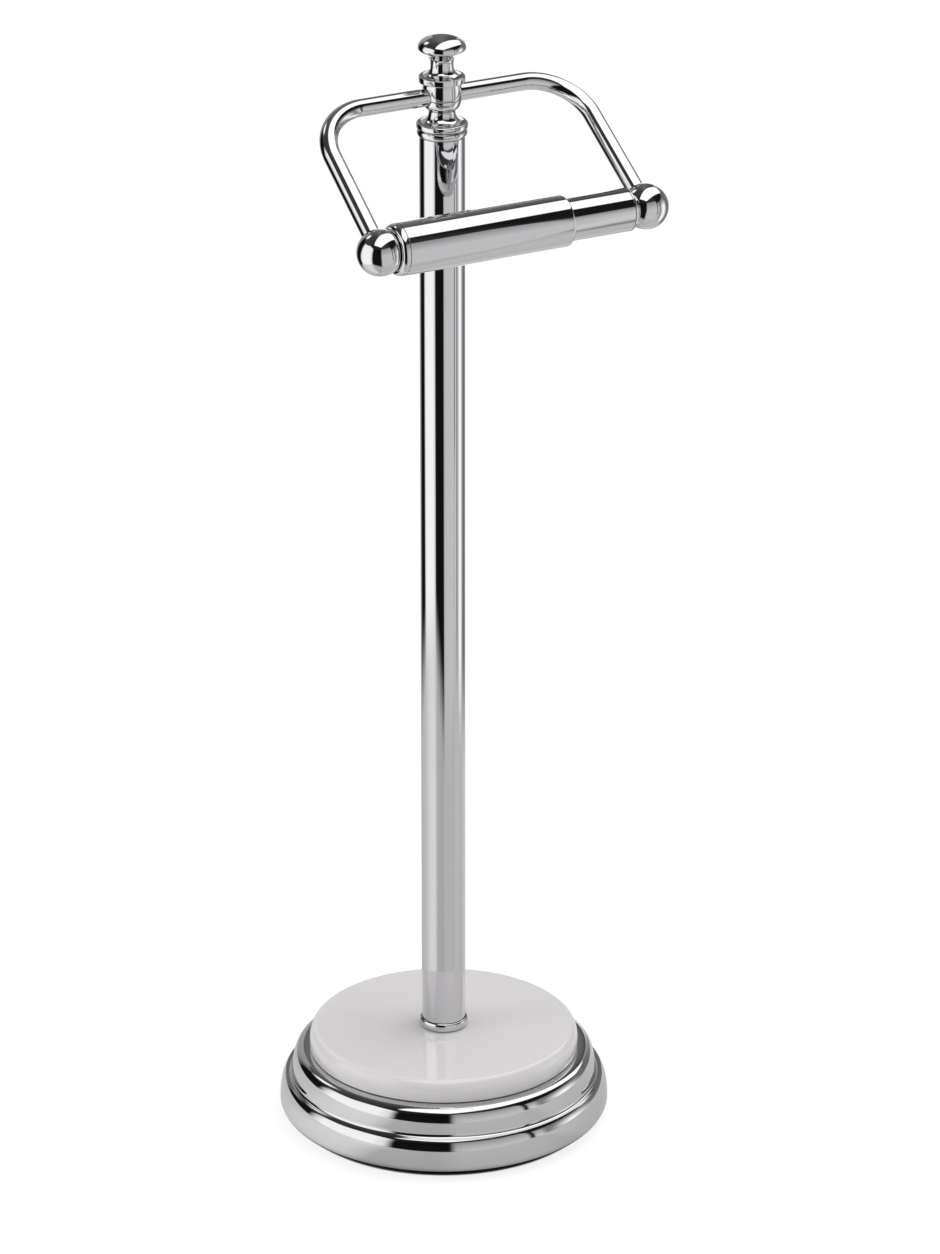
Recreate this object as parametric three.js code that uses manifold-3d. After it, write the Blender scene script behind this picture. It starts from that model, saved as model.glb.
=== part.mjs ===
// Freestanding toilet paper holder: a weighted two-tier chrome base with a white disc, a tall tube,
// a turned finial that clamps a bent rod loop, and a telescopic spring roller between the loop's two balls.
// Millimetres, +Z up. The origin is on the floor, on the axis of the tube, and the roller is in front, at -Y.

import * as THREE from "three";
import { mergeVertices } from "three/addons/utils/BufferGeometryUtils.js";
import Module from "manifold-3d";

const wasm = await Module();
wasm.setup();

// Fits that every piece shares
const gap = 0.3; // clearance between pieces that seat on, or fit in, each other
const overrun = 2; // how far a cutting shape runs past the face it cuts
const mergeDistance = 0.001; // vertices closer than this are one

// Rubber feet: four short arcs let into the underside
const footCount = 4;
const footSetback = 1.9; // from the rim of the cover to a foot
const footDepth = 12.5;
const footWidth = 24;
const footProud = 1.5;
const footLetIn = 1; // depth of a foot in its pocket
const footTurn = -118.6; // degrees from +X to the foot at the front

// Underside cover: a flange under the shell's edge and a plug inside its mouth
const coverLap = 0.4; // how far the cover reaches under the shell's edge
const coverFlange = 1.2;
const coverPlug = 2.4;

// Base shell: pressed sheet in two tiers, its radii stepping in from the widest, its heights going up
const shellWall = 0.8;
const baseRadius = 94.5;
const mouthTuck = 8.5;
const widestHeight = 6.5;
const lowerTierHeight = 22.5;
const lowerShoulderWidth = 4.9;
const lowerRoundShare = 0.45;
const ledgeWidth = 2.2;
const upperTierHeight = 15.5;
const upperTaper = 1.3;
const crownWidth = 9.3;
const crownRoundShare = 0.65;

// Ballast
const ballastSideSpace = 12.6;
const ballastHeight = 16;
const ballastBossWall = 17;

// White glazed disc
const discOverhang = 0.4; // past the shell's flat top
const discThickness = 12.6;
const discEdgeWidth = 4.7;
const discEdgeHeight = 8.5;

// Tube
const tubeRadius = 12.5;
const tubeWall = 1;
const tubeLength = 533.6;
const collarWall = 1.1;
const collarHeight = 5;

// Threaded inserts, studs and the fasteners under the base
const insertLength = 22;
const studRadius = 4;
const washerWidth = 6.7;
const washerThickness = 1.6;
const springWasherWidth = 3.1;
const springWasherThickness = 2;
const springWasherSlit = 1.2;
const boltHeadAcross = 13;
const boltHeadHeight = 5.3;
const boltHeadSides = 6;
const boltEndSpace = 3; // thread left free past a bolt's or stud's end
const counterboreSpace = 2; // round the washer
const studWeb = 3.3; // metal between the ends of the two studs in the hub

// Finial: its lower half goes down from the loop rod's axis, its knob goes up
const capBeadProud = 1.3; // past the tube
const capBeadHeight = 4.1;
const seamRadius = 10.7;
const seamDrop = 1.2; // from the rod's axis down to the joint of the two halves
const hubNeckRadius = 7.6;
const hubNeckBelowSeam = 8.6;
const hubFlangeBelowNeck = 5.1;
const hubFlangeProud = 1.65; // past the tube
const hubFlangeHeight = 3.4;
const barrelRadius = 11.6;
const barrelRise = 3.2;
const knobFlangeRadius = 12.4;
const knobFlangeHeight = 3.4;
const knobFlangeRise = 11.1;
const knobNeckRadius = 6.9;
const knobNeckAboveFlange = 6.8;
const knobNeckLength = 3.4;
const knobRimRadius = 13.2;
const knobRimAboveNeck = 8.4;
const knobUnderside = 3.6;
const knobDome = 7.6;
const clampStudRadius = 2.5;
const clampStudReach = 9;

// Loop: one bent rod, its top run clamped in the finial, its arms sloping down and forward
const rodRadius = 5;
const armSplay = 2; // how much further out the balls are than the corners of the loop
const loopBendRadius = 30;
const loopReach = 80;
const loopDrop = 53.2;

// Balls and the pins that turn in them
const ballSpacing = 162;
const ballRadius = 12.7;
const rodSeatDepth = 7.7;
const pinRadius = 3;
const pinDepth = 6.4;
const socketEndSpace = 0.8;

// Roller: two tubes, one sliding in the other, with an end cap each that the ball nests in
const tubeProud = 1.6; // past the balls
const outerTubeWall = 0.8;
const outerTubeLength = 100;
const mouthLip = 1.7;
const mouthRound = 1.3;
const outerNest = 5.6; // how deep the left ball sits in the outer cap
const outerRecessSpace = 0.5;
const outerCapRim = 0.45;
const outerCapShoulder = 3.9;
const capPlugLength = 8;
const slideSpace = 1.6; // between the outer tube's bore and the inner tube
const innerTubeWall = 1;
const tubeOverlap = 27.3;
const innerFlareLength = 2;
const innerNest = 2.3; // how deep the right ball sits in the inner cap
const innerRecessSpace = 0.8;
const innerCapRim = 1.9;
const innerCapShoulder = 1.9;
const springWireRadius = 0.7;
const springSideSpace = 0.9;
const springTurns = 10;

// Facet counts
const wideSides = 40;
const turnedSides = 26;
const slimSides = 18;
const curveSteps = 5;
const beadSteps = 6;
const hiddenSteps = 2;
const footSteps = 4;
const rodSteps = 50;
const rodSides = 14;
const ballRings = 12;
const wireStepsPerTurn = 8;
const wireSides = 6;

// Directions on a curve's outline, in degrees
const below = -90;
const outward = 0;
const above = 90;

// Radii that follow from the base's and the tube's
const shellMouthRadius = baseRadius - mouthTuck;
const ledgeRadius = baseRadius - lowerShoulderWidth;
const upperFootRadius = ledgeRadius - ledgeWidth;
const upperShoulderRadius = upperFootRadius - upperTaper;
const shellTopRadius = upperShoulderRadius - crownWidth;
const coverRadius = shellMouthRadius + coverLap;
const footOuterRadius = coverRadius - footSetback;
const footInnerRadius = footOuterRadius - footDepth;
const discRadius = shellTopRadius + discOverhang;
const boreRadius = studRadius + gap;
const springWasherRadius = boreRadius + springWasherWidth;
const washerRadius = boreRadius + washerWidth;
const counterboreRadius = washerRadius + counterboreSpace;
const ballastRadius = upperFootRadius - shellWall - ballastSideSpace;
const ballastBossRadius = counterboreRadius + ballastBossWall;
const hubFlangeRadius = tubeRadius + hubFlangeProud;

// Heights above the floor that follow from the stack
const coverBottom = footProud;
const footTop = footProud + footLetIn;
const shellEdge = coverBottom + coverFlange + gap;
const shellTop = shellEdge + lowerTierHeight + upperTierHeight;
const discBottom = shellTop + gap;
const discTop = discBottom + discThickness;
const tubeBottom = discTop + gap;
const tubeTop = tubeBottom + tubeLength;
const capTop = tubeTop + gap + capBeadHeight;
const hubNeckDrop = seamDrop + hubNeckBelowSeam;
const hubFlangeDrop = hubNeckDrop + hubFlangeBelowNeck;
const rodAxisHeight = capTop + gap + hubFlangeHeight + hubFlangeDrop;
const rollerHeight = rodAxisHeight - loopDrop;
const hubStudTop = rodAxisHeight - clampStudReach - studWeb;

// Heights in the underside's counterbore, where the fasteners stack up from the bolt's head
const ballastBottom = coverBottom + coverFlange + coverPlug + gap;
const headBottom = ballastBottom + gap;
const springWasherBottom = headBottom + boltHeadHeight + gap;
const springWasherTop = springWasherBottom + springWasherThickness;
const washerBottom = springWasherTop + gap;
const washerTop = washerBottom + washerThickness;
const counterboreTop = washerTop + gap;

// Distances from a ball's centre
const rodEndFromBall = ballRadius - rodSeatDepth;
const pinEndFromBall = ballRadius - pinDepth;

// Places along the loop and the roller, counted from the middle
const halfSpacing = ballSpacing / 2;
const loopHalfWidth = halfSpacing - armSplay;
const outerTubeRadius = ballRadius + tubeProud;
const outerCapFace = halfSpacing - (ballRadius - outerNest);
const outerTubeStart = outerCapShoulder + gap - outerCapFace;
const outerTubeMouth = outerTubeStart + outerTubeLength;
const outerTubeBore = outerTubeRadius - outerTubeWall;
const innerTubeRadius = outerTubeBore - slideSpace;
const innerTubeBore = innerTubeRadius - innerTubeWall;
const innerTubeStart = outerTubeMouth - tubeOverlap;
const innerCapFace = halfSpacing - (ballRadius - innerNest);
const innerTubeEnd = innerCapFace - innerCapShoulder - gap;

const material = (color, roughness, metalness) =>
  new THREE.MeshStandardMaterial({ color, roughness, metalness });
const chrome = () => material(0xd9dbe0, 0.06, 1);
const plainSteel = () => material(0x9a9c9f, 0.35, 1);
const castIron = () => material(0x4a4b4d, 0.75, 0.8);
const glaze = () => material(0xe9e7e6, 0.12, 0);
const blackRubber = () => material(0x121212, 0.7, 0);
const blackPlastic = () => material(0x161616, 0.55, 0);
const zincAlloy = () => material(0xb0b2b5, 0.3, 1);

const holder = new THREE.Group();

/** Adds one named piece to the holder, or to the group given. */
function piece(name, geometry, finish, group = holder) {
  const mesh = new THREE.Mesh(geometry, finish);
  mesh.name = name;
  group.add(mesh);
  return mesh;
}

/** A closed geometry as a solid that can be cut and joined. */
function solidOf(geometry) {
  const loose = geometry.index ? geometry.toNonIndexed() : geometry;
  const bare = new THREE.BufferGeometry();
  bare.setAttribute("position", loose.getAttribute("position"));
  const merged = mergeVertices(bare, mergeDistance);
  const vertProperties = merged.getAttribute("position").array;
  const triVerts = new Uint32Array(merged.index.array);
  return new wasm.Manifold(new wasm.Mesh({ numProp: 3, vertProperties, triVerts }));
}

/** A solid's surface as a geometry with flat-shaded normals. */
function geometryOf(solid) {
  const mesh = solid.getMesh();
  const geometry = new THREE.BufferGeometry();
  geometry.setAttribute("position", new THREE.BufferAttribute(mesh.vertProperties, mesh.numProp));
  geometry.setIndex(new THREE.BufferAttribute(mesh.triVerts, 1));
  const faceted = geometry.toNonIndexed();
  faceted.computeVertexNormals();
  return faceted;
}

/** The geometry less every cutter. */
function cut(geometry, ...cutters) {
  return geometryOf(cutters.reduce((rest, cutter) => rest.subtract(solidOf(cutter)), solidOf(geometry)));
}

/** A closed outline of [radius, height] points, turned round the Z axis. */
function turned(points, sides) {
  const profile = points.map(([radius, height]) => new THREE.Vector2(Math.max(radius, 0), height));
  const geometry = new THREE.LatheGeometry(profile, sides);
  geometry.rotateX(Math.PI / 2);
  return geometry;
}

/** The outline of a ring, counter-clockwise from its inner lower corner and back to it. */
const ringOutline = (inner, outer, bottom, top) => [
  [inner, bottom],
  [outer, bottom],
  [outer, top],
  [inner, top],
  [inner, bottom],
];

/** A stretch of an ellipse about a centre, from one angle to another, in degrees. */
function ellipse(radius, height, width, rise, from, to, steps = curveSteps) {
  const points = [];
  for (let step = 0; step <= steps; step++) {
    const angle = THREE.MathUtils.degToRad(THREE.MathUtils.lerp(from, to, step / steps));
    points.push([radius + width * Math.cos(angle), height + rise * Math.sin(angle)]);
  }
  return points;
}

/** A smooth curve from the first point to the last, drawn towards the two between them. */
function sweep(pulls, steps = curveSteps) {
  const [a, b, c, d] = pulls.map(([radius, height]) => new THREE.Vector2(radius, height));
  return new THREE.CubicBezierCurve(a, b, c, d).getPoints(steps).map((point) => [point.x, point.y]);
}

/** A plain rod along Z. */
const rod = (radius, bottom, top, sides = slimSides) => turned(
  [
    [0, bottom],
    [radius, bottom],
    [radius, top],
    [0, top],
  ],
  sides,
);

/** Turns what was made along Z so that it lies along X. */
function alongX(geometry) {
  geometry.rotateY(Math.PI / 2);
  return geometry;
}

/** A block that stands on a short arc round the Z axis, such as a foot. */
function arcBlock(inner, outer, width, bottom, top) {
  const half = width / (inner + outer);
  const shape = new THREE.Shape();
  shape.absarc(0, 0, outer, -half, half, false);
  shape.absarc(0, 0, inner, half, -half, true);
  const block = new THREE.ExtrudeGeometry(shape, {
    depth: top - bottom,
    bevelEnabled: false,
    curveSegments: footSteps,
  });
  block.translate(0, 0, bottom);
  return block;
}

const footTurnOf = (index) => THREE.MathUtils.degToRad(footTurn) + (index * 2 * Math.PI) / footCount;

function addFeet() {
  for (let index = 0; index < footCount; index++) {
    const foot = arcBlock(footInnerRadius, footOuterRadius, footWidth, 0, footTop);
    piece(`foot_${index + 1}`, foot, blackRubber()).rotation.z = footTurnOf(index);
  }
}

function addCover() {
  const flangeTop = coverBottom + coverFlange;
  const plugRadius = shellMouthRadius - gap;
  const cover = turned(
    [
      [0, coverBottom],
      [coverRadius, coverBottom],
      [coverRadius, flangeTop],
      [plugRadius, flangeTop],
      [plugRadius, flangeTop + coverPlug],
      [0, flangeTop + coverPlug],
    ],
    wideSides,
  );
  const pockets = [];
  for (let index = 0; index < footCount; index++) {
    const pocket = arcBlock(
      footInnerRadius - gap,
      footOuterRadius + gap,
      footWidth + 2 * gap,
      coverBottom - overrun,
      footTop + gap,
    );
    pocket.rotateZ(footTurnOf(index));
    pockets.push(pocket);
  }
  piece("base_cover", cut(cover, ...pockets), blackPlastic());
}

/** The shell's face from its lower edge to the rim of its flat top, or the same face inset by the wall. */
function shellFace(inset, steps) {
  const widest = shellEdge + widestHeight;
  const widestRadius = baseRadius - inset;
  const tuck = widestRadius - shellMouthRadius;
  const ledge = shellEdge + lowerTierHeight - inset;
  const ledgeRim = ledgeRadius - inset;
  const top = shellTop - inset;
  const topRim = shellTopRadius - inset;
  const shoulder = upperShoulderRadius - inset;
  const lowerShoulder = [
    [widestRadius, widest],
    [widestRadius, THREE.MathUtils.lerp(widest, ledge, lowerRoundShare)],
    [THREE.MathUtils.lerp(ledgeRim, widestRadius, lowerRoundShare), ledge],
    [ledgeRim, ledge],
  ];
  const upperTier = [
    [upperFootRadius - inset, ledge],
    [shoulder, top],
    [THREE.MathUtils.lerp(topRim, shoulder, crownRoundShare), top],
    [topRim, top],
  ];
  return [
    ...ellipse(shellMouthRadius, widest, tuck, widestHeight - inset, below, outward, steps),
    ...sweep(lowerShoulder, steps).slice(1),
    ...sweep(upperTier, steps),
  ];
}

function addShell() {
  const outside = shellFace(0, curveSteps);
  const inside = shellFace(shellWall, hiddenSteps).reverse();
  const rim = [
    [boreRadius, shellTop],
    [boreRadius, shellTop - shellWall],
  ];
  const outline = [...outside, ...rim, ...inside, outside[0]];
  piece("base_shell", turned(outline, wideSides), chrome());
}

function addBallast() {
  const step = ballastBottom + ballastHeight;
  const bossTop = shellTop - shellWall - gap;
  const outline = [
    [counterboreRadius, ballastBottom],
    [ballastRadius, ballastBottom],
    [ballastRadius, step],
    [ballastBossRadius, step],
    [ballastBossRadius, bossTop],
    [boreRadius, bossTop],
    [boreRadius, counterboreTop],
    [counterboreRadius, counterboreTop],
    [counterboreRadius, ballastBottom],
  ];
  piece("base_weight", turned(outline, wideSides), castIron());
}

function addBaseFasteners() {
  const cornerRadius = boltHeadAcross / 2 / Math.cos(Math.PI / boltHeadSides);
  const headTop = headBottom + boltHeadHeight;
  const head = rod(cornerRadius, headBottom, headTop, boltHeadSides);
  const shank = rod(studRadius, (headBottom + headTop) / 2, tubeBottom + insertLength - boltEndSpace);
  piece("base_bolt", geometryOf(solidOf(head).add(solidOf(shank))), plainSteel());

  const ring = ringOutline(boreRadius, springWasherRadius, springWasherBottom, springWasherTop);
  const reach = springWasherRadius + overrun;
  const slit = new THREE.BoxGeometry(reach, springWasherSlit, springWasherThickness + overrun);
  slit.translate(reach / 2, 0, (springWasherBottom + springWasherTop) / 2);
  piece("spring_washer", cut(turned(ring, slimSides), slit), plainSteel());

  const washer = ringOutline(boreRadius, washerRadius, washerBottom, washerTop);
  piece("bolt_washer", turned(washer, slimSides), plainSteel());
}

function addDisc() {
  const flatRadius = discRadius - discEdgeWidth;
  const edgeBottom = discTop - discEdgeHeight;
  const outline = [
    [boreRadius, discBottom],
    [discRadius, discBottom],
    ...ellipse(flatRadius, edgeBottom, discEdgeWidth, discEdgeHeight, outward, above),
    [boreRadius, discTop],
    [boreRadius, discBottom],
  ];
  piece("white_disc", turned(outline, wideSides), glaze());
}

/** The outline of a half-round bead on a ring, from its lower inner corner to its upper one. */
const bead = (inner, proud, bottom, height) =>
  ellipse(inner, bottom + height / 2, proud, height / 2, below, above, beadSteps);

function addTube() {
  const collar = bead(tubeRadius + gap, collarWall, tubeBottom, collarHeight);
  piece("foot_collar", turned([...collar, collar[0]], turnedSides), chrome());

  const tube = ringOutline(tubeRadius - tubeWall, tubeRadius, tubeBottom, tubeTop);
  piece("post_tube", turned(tube, turnedSides), chrome());

  const insertRadius = tubeRadius - tubeWall - gap;
  const lower = ringOutline(boreRadius, insertRadius, tubeBottom, tubeBottom + insertLength);
  piece("lower_insert", turned(lower, turnedSides), zincAlloy());
  const upper = ringOutline(boreRadius, insertRadius, tubeTop - insertLength, tubeTop);
  piece("upper_insert", turned(upper, turnedSides), zincAlloy());
}

/** Cuts the loop rod's bed, with its clearance, out of a piece of the finial. */
function rodBed() {
  const bed = alongX(rod(rodRadius + gap, -hubFlangeRadius - overrun, hubFlangeRadius + overrun));
  bed.translate(0, 0, rodAxisHeight);
  return bed;
}

/** Moves an outline that counts its heights from the loop rod's axis to its place above the floor. */
const fromRodAxis = (points) => points.map(([radius, height]) => [radius, height + rodAxisHeight]);

function addTopCap() {
  const bottom = tubeTop + gap;
  const outline = [
    [boreRadius, bottom],
    ...bead(tubeRadius, capBeadProud, bottom, capBeadHeight),
    [boreRadius, capTop],
    [boreRadius, bottom],
  ];
  piece("post_cap", turned(outline, turnedSides), chrome());
  piece("hub_stud", rod(studRadius, tubeTop - insertLength + boltEndSpace, hubStudTop), plainSteel());
}

function addHub() {
  const flangeBottom = -hubFlangeDrop - hubFlangeHeight;
  const rim = hubFlangeHeight / 2;
  const seam = -seamDrop - gap / 2;
  const neckFlare = [
    [hubFlangeRadius - hubFlangeHeight, -hubFlangeDrop],
    [hubNeckRadius, -hubFlangeDrop],
    [hubNeckRadius, -hubNeckDrop - rim],
    [hubNeckRadius, -hubNeckDrop],
  ];
  const bowl = [
    [hubNeckRadius, -hubNeckDrop],
    [hubNeckRadius, -hubNeckDrop + rim],
    [seamRadius, -hubNeckDrop + rim],
    [seamRadius, seam],
  ];
  const outline = fromRodAxis([
    [0, flangeBottom],
    ...bead(hubFlangeRadius - rim, rim, flangeBottom, hubFlangeHeight),
    ...sweep(neckFlare),
    ...sweep(bowl).slice(1),
    [0, seam],
  ]);
  const studHole = rod(boreRadius, capTop - overrun, hubStudTop + gap);
  const clampHole = rod(clampStudRadius + gap, rodAxisHeight - clampStudReach - gap, rodAxisHeight);
  piece("finial_hub", cut(turned(outline, turnedSides), rodBed(), studHole, clampHole), chrome());
}

function addKnob() {
  const seam = -seamDrop + gap / 2;
  const flangeBottom = knobFlangeRise - knobFlangeHeight;
  const rim = knobFlangeHeight / 2;
  const rimInner = knobFlangeRadius - rim;
  const neckMiddle = knobFlangeRise + knobNeckAboveFlange;
  const neckBottom = neckMiddle - knobNeckLength / 2;
  const neckTop = neckMiddle + knobNeckLength / 2;
  const widest = neckMiddle + knobRimAboveNeck;
  const underside = widest - knobUnderside;
  const barrel = [
    [seamRadius, seam],
    [barrelRadius, seam + rim],
    [barrelRadius, barrelRise],
    [rimInner, flangeBottom],
  ];
  const neckFlare = [
    [rimInner, knobFlangeRise],
    [knobNeckRadius + rim, knobFlangeRise],
    [knobNeckRadius, neckBottom - rim],
    [knobNeckRadius, neckBottom],
  ];
  const mushroom = [
    [knobNeckRadius, neckTop],
    [knobNeckRadius, underside],
    [knobRimRadius, underside],
    [knobRimRadius, widest],
  ];
  const outline = fromRodAxis([
    [0, seam],
    ...sweep(barrel),
    ...bead(rimInner, rim, flangeBottom, knobFlangeHeight).slice(1),
    ...sweep(neckFlare).slice(1),
    ...sweep(mushroom),
    ...ellipse(0, widest, knobRimRadius, knobDome, outward, above).slice(1),
  ]);
  const clampHole = rod(clampStudRadius + gap, rodAxisHeight, rodAxisHeight + clampStudReach + gap);
  piece("finial_knob", cut(turned(outline, turnedSides), rodBed(), clampHole), chrome());
  const stud = rod(clampStudRadius, rodAxisHeight - clampStudReach, rodAxisHeight + clampStudReach);
  piece("clamp_stud", stud, plainSteel());
}

/** The point on a loop's arm line at a distance from the ball's centre towards the corner. */
function armPoint(side, distance) {
  const ball = new THREE.Vector3(side * halfSpacing, -loopReach, rollerHeight);
  const corner = new THREE.Vector3(side * loopHalfWidth, 0, rodAxisHeight);
  return ball.add(corner.sub(ball).setLength(distance));
}

/** The loop's centre line: two straight arms, two bends and the straight top run. */
class LoopLine extends THREE.Curve {
  constructor() {
    super();
    const corner = new THREE.Vector3(loopHalfWidth, 0, rodAxisHeight);
    const ball = new THREE.Vector3(halfSpacing, -loopReach, rollerHeight);
    const down = ball.clone().sub(corner).normalize();
    const across = new THREE.Vector3(-1, 0, 0);
    const halfAngle = down.angleTo(across) / 2;
    this.tangentLength = loopBendRadius / Math.tan(halfAngle);
    this.bendAngle = Math.PI - 2 * halfAngle;
    this.topLength = 2 * (loopHalfWidth - this.tangentLength);
    this.armLength = ball.distanceTo(corner) - this.tangentLength - rodEndFromBall;
    this.bendLength = this.bendAngle * loopBendRadius;
    this.bendStart = corner.clone().addScaledVector(across, this.tangentLength);
    this.bendEnd = corner.clone().addScaledVector(down, this.tangentLength);
    const inward = down.clone().add(across).normalize();
    this.bendCentre = corner.clone().addScaledVector(inward, loopBendRadius / Math.sin(halfAngle));
    this.down = down;
    this.length = this.topLength + 2 * (this.bendLength + this.armLength);
  }

  getPoint(share, target = new THREE.Vector3()) {
    const fromMiddle = (share - 1 / 2) * this.length;
    const distance = Math.abs(fromMiddle) - this.topLength / 2;
    if (distance <= 0) {
      target.set(Math.abs(fromMiddle), 0, rodAxisHeight);
    } else if (distance < this.bendLength) {
      const start = this.bendStart.clone().sub(this.bendCentre);
      const end = this.bendEnd.clone().sub(this.bendCentre);
      const turn = distance / loopBendRadius;
      target.copy(this.bendCentre);
      target.addScaledVector(start, Math.sin(this.bendAngle - turn) / Math.sin(this.bendAngle));
      target.addScaledVector(end, Math.sin(turn) / Math.sin(this.bendAngle));
    } else {
      target.copy(this.bendEnd).addScaledVector(this.down, distance - this.bendLength);
    }
    target.x *= Math.sign(fromMiddle) || 1;
    return target;
  }
}

function addLoop() {
  const section = new THREE.Shape().absarc(0, 0, rodRadius, 0, 2 * Math.PI, false);
  const bent = new THREE.ExtrudeGeometry(section, {
    steps: rodSteps,
    curveSegments: rodSides / 2,
    extrudePath: new LoopLine(),
  });
  const reach = rodRadius + overrun;
  const studHole = rod(clampStudRadius + gap, rodAxisHeight - reach, rodAxisHeight + reach);
  piece("loop_rod", cut(bent, studHole), chrome());
}

function addBall(name, side) {
  const ball = new THREE.SphereGeometry(ballRadius, turnedSides, ballRings);
  ball.translate(side * halfSpacing, -loopReach, rollerHeight);

  const seat = armPoint(side, rodEndFromBall - gap);
  const mouth = armPoint(side, ballRadius + overrun);
  const rodHole = rod(rodRadius + gap, 0, seat.distanceTo(mouth));
  const alongArm = mouth.clone().sub(seat).normalize();
  rodHole.applyQuaternion(new THREE.Quaternion().setFromUnitVectors(new THREE.Vector3(0, 0, 1), alongArm));
  rodHole.translate(seat.x, seat.y, seat.z);

  const socketFloor = pinEndFromBall - socketEndSpace;
  const socket = alongX(rod(pinRadius + gap, socketFloor, ballRadius + overrun));
  if (side > 0) socket.rotateZ(Math.PI);
  socket.translate(side * halfSpacing, -loopReach, rollerHeight);
  piece(name, cut(ball, rodHole, socket), chrome());
}

/** The roller's group: its pieces are made along X about this group's origin. */
const roller = new THREE.Group();
roller.position.set(0, -loopReach, rollerHeight);
holder.add(roller);

/**
 * A roller end, made from the ball outwards: the pin, the recess that clears the ball, the rim, the rounded
 * shoulder, and the plug inside the tube. Side is -1 at the left ball and 1 at the right one.
 */
function addRollerCap(name, side, face, recessRadius, rim, shoulder, tube) {
  const faceFromBall = halfSpacing - face;
  const seam = faceFromBall + shoulder;
  const faceAngle = Math.acos(faceFromBall / recessRadius);
  const pinAngle = Math.asin(pinRadius / recessRadius);
  const rimRadius = recessRadius * Math.sin(faceAngle) + rim;
  const recess = [];
  for (let step = 0; step <= curveSteps; step++) {
    const angle = THREE.MathUtils.lerp(pinAngle, faceAngle, step / curveSteps);
    recess.push([recessRadius * Math.sin(angle), recessRadius * Math.cos(angle)]);
  }
  const outline = [
    [0, pinEndFromBall],
    [pinRadius - gap, pinEndFromBall],
    [pinRadius, pinEndFromBall + gap],
    ...recess,
    ...ellipse(rimRadius, seam, tube.radius - rimRadius, -shoulder, above, outward),
    [tube.bore - gap, seam],
    [tube.bore - gap, seam + capPlugLength],
    [0, seam + capPlugLength],
  ];
  const cap = alongX(turned(outline, turnedSides));
  if (side > 0) cap.rotateZ(Math.PI);
  cap.translate(side * halfSpacing, 0, 0);
  piece(name, cap, chrome(), roller);
}

function addRollerOuter() {
  const bore = outerTubeBore;
  const lipStart = outerTubeMouth - mouthLip;
  const lipRadius = innerTubeRadius + gap;
  const tube = [
    [bore, outerTubeStart],
    [outerTubeRadius, outerTubeStart],
    ...ellipse(outerTubeRadius - mouthRound, lipStart, mouthRound, mouthLip, outward, above),
    [lipRadius, outerTubeMouth],
    [lipRadius, lipStart],
    [bore, lipStart],
    [bore, outerTubeStart],
  ];
  piece("roller_outer", alongX(turned(tube, turnedSides)), chrome(), roller);
  const recessRadius = ballRadius + outerRecessSpace;
  const fitsTube = { radius: outerTubeRadius, bore };
  addRollerCap("outer_cap", -1, outerCapFace, recessRadius, outerCapRim, outerCapShoulder, fitsTube);
}

function addRollerInner() {
  const bore = innerTubeBore;
  const flareRadius = outerTubeBore - gap;
  const flareEnd = innerTubeStart + innerFlareLength;
  const tube = [
    [bore, innerTubeStart],
    [flareRadius, innerTubeStart],
    [flareRadius, flareEnd],
    [innerTubeRadius, flareEnd],
    [innerTubeRadius, innerTubeEnd],
    [bore, innerTubeEnd],
    [bore, innerTubeStart],
  ];
  piece("roller_inner", alongX(turned(tube, turnedSides)), chrome(), roller);
  const recessRadius = ballRadius + innerRecessSpace;
  const fitsTube = { radius: innerTubeRadius, bore };
  addRollerCap("inner_cap", 1, innerCapFace, recessRadius, innerCapRim, innerCapShoulder, fitsTube);
}

/** The spring's centre line: a plain helix along X. */
class SpringLine extends THREE.Curve {
  getPoint(share, target = new THREE.Vector3()) {
    const first = outerTubeStart + capPlugLength + springWireRadius;
    const last = innerTubeStart - gap - springWireRadius;
    const coilRadius = outerTubeBore - springSideSpace - springWireRadius;
    const angle = share * springTurns * 2 * Math.PI;
    const along = THREE.MathUtils.lerp(first, last, share);
    return target.set(along, coilRadius * Math.cos(angle), coilRadius * Math.sin(angle));
  }
}

function addSpring() {
  const section = new THREE.Shape().absarc(0, 0, springWireRadius, 0, 2 * Math.PI, false);
  const wire = new THREE.ExtrudeGeometry(section, {
    steps: springTurns * wireStepsPerTurn,
    curveSegments: wireSides / 2,
    extrudePath: new SpringLine(),
  });
  piece("roller_spring", wire, plainSteel(), roller);
}

addFeet();
addCover();
addShell();
addBallast();
addBaseFasteners();
addDisc();
addTube();
addTopCap();
addHub();
addKnob();
addLoop();
addBall("ball_left", -1);
addBall("ball_right", 1);
addRollerOuter();
addRollerInner();
addSpring();

export default holder;
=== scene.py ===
"""Looks of a freestanding toilet paper holder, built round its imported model.

Lengths in the classes are millimetres in the part's own frame: +Z is up, the floor is at zero, the tube's
axis goes through the origin and the roller hangs in front, at -Y. Meshes are made in metres.
"""

import logging
import math
from collections.abc import Sequence
from dataclasses import dataclass
from enum import Enum

import bpy
from mathutils import Matrix, Vector


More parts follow.
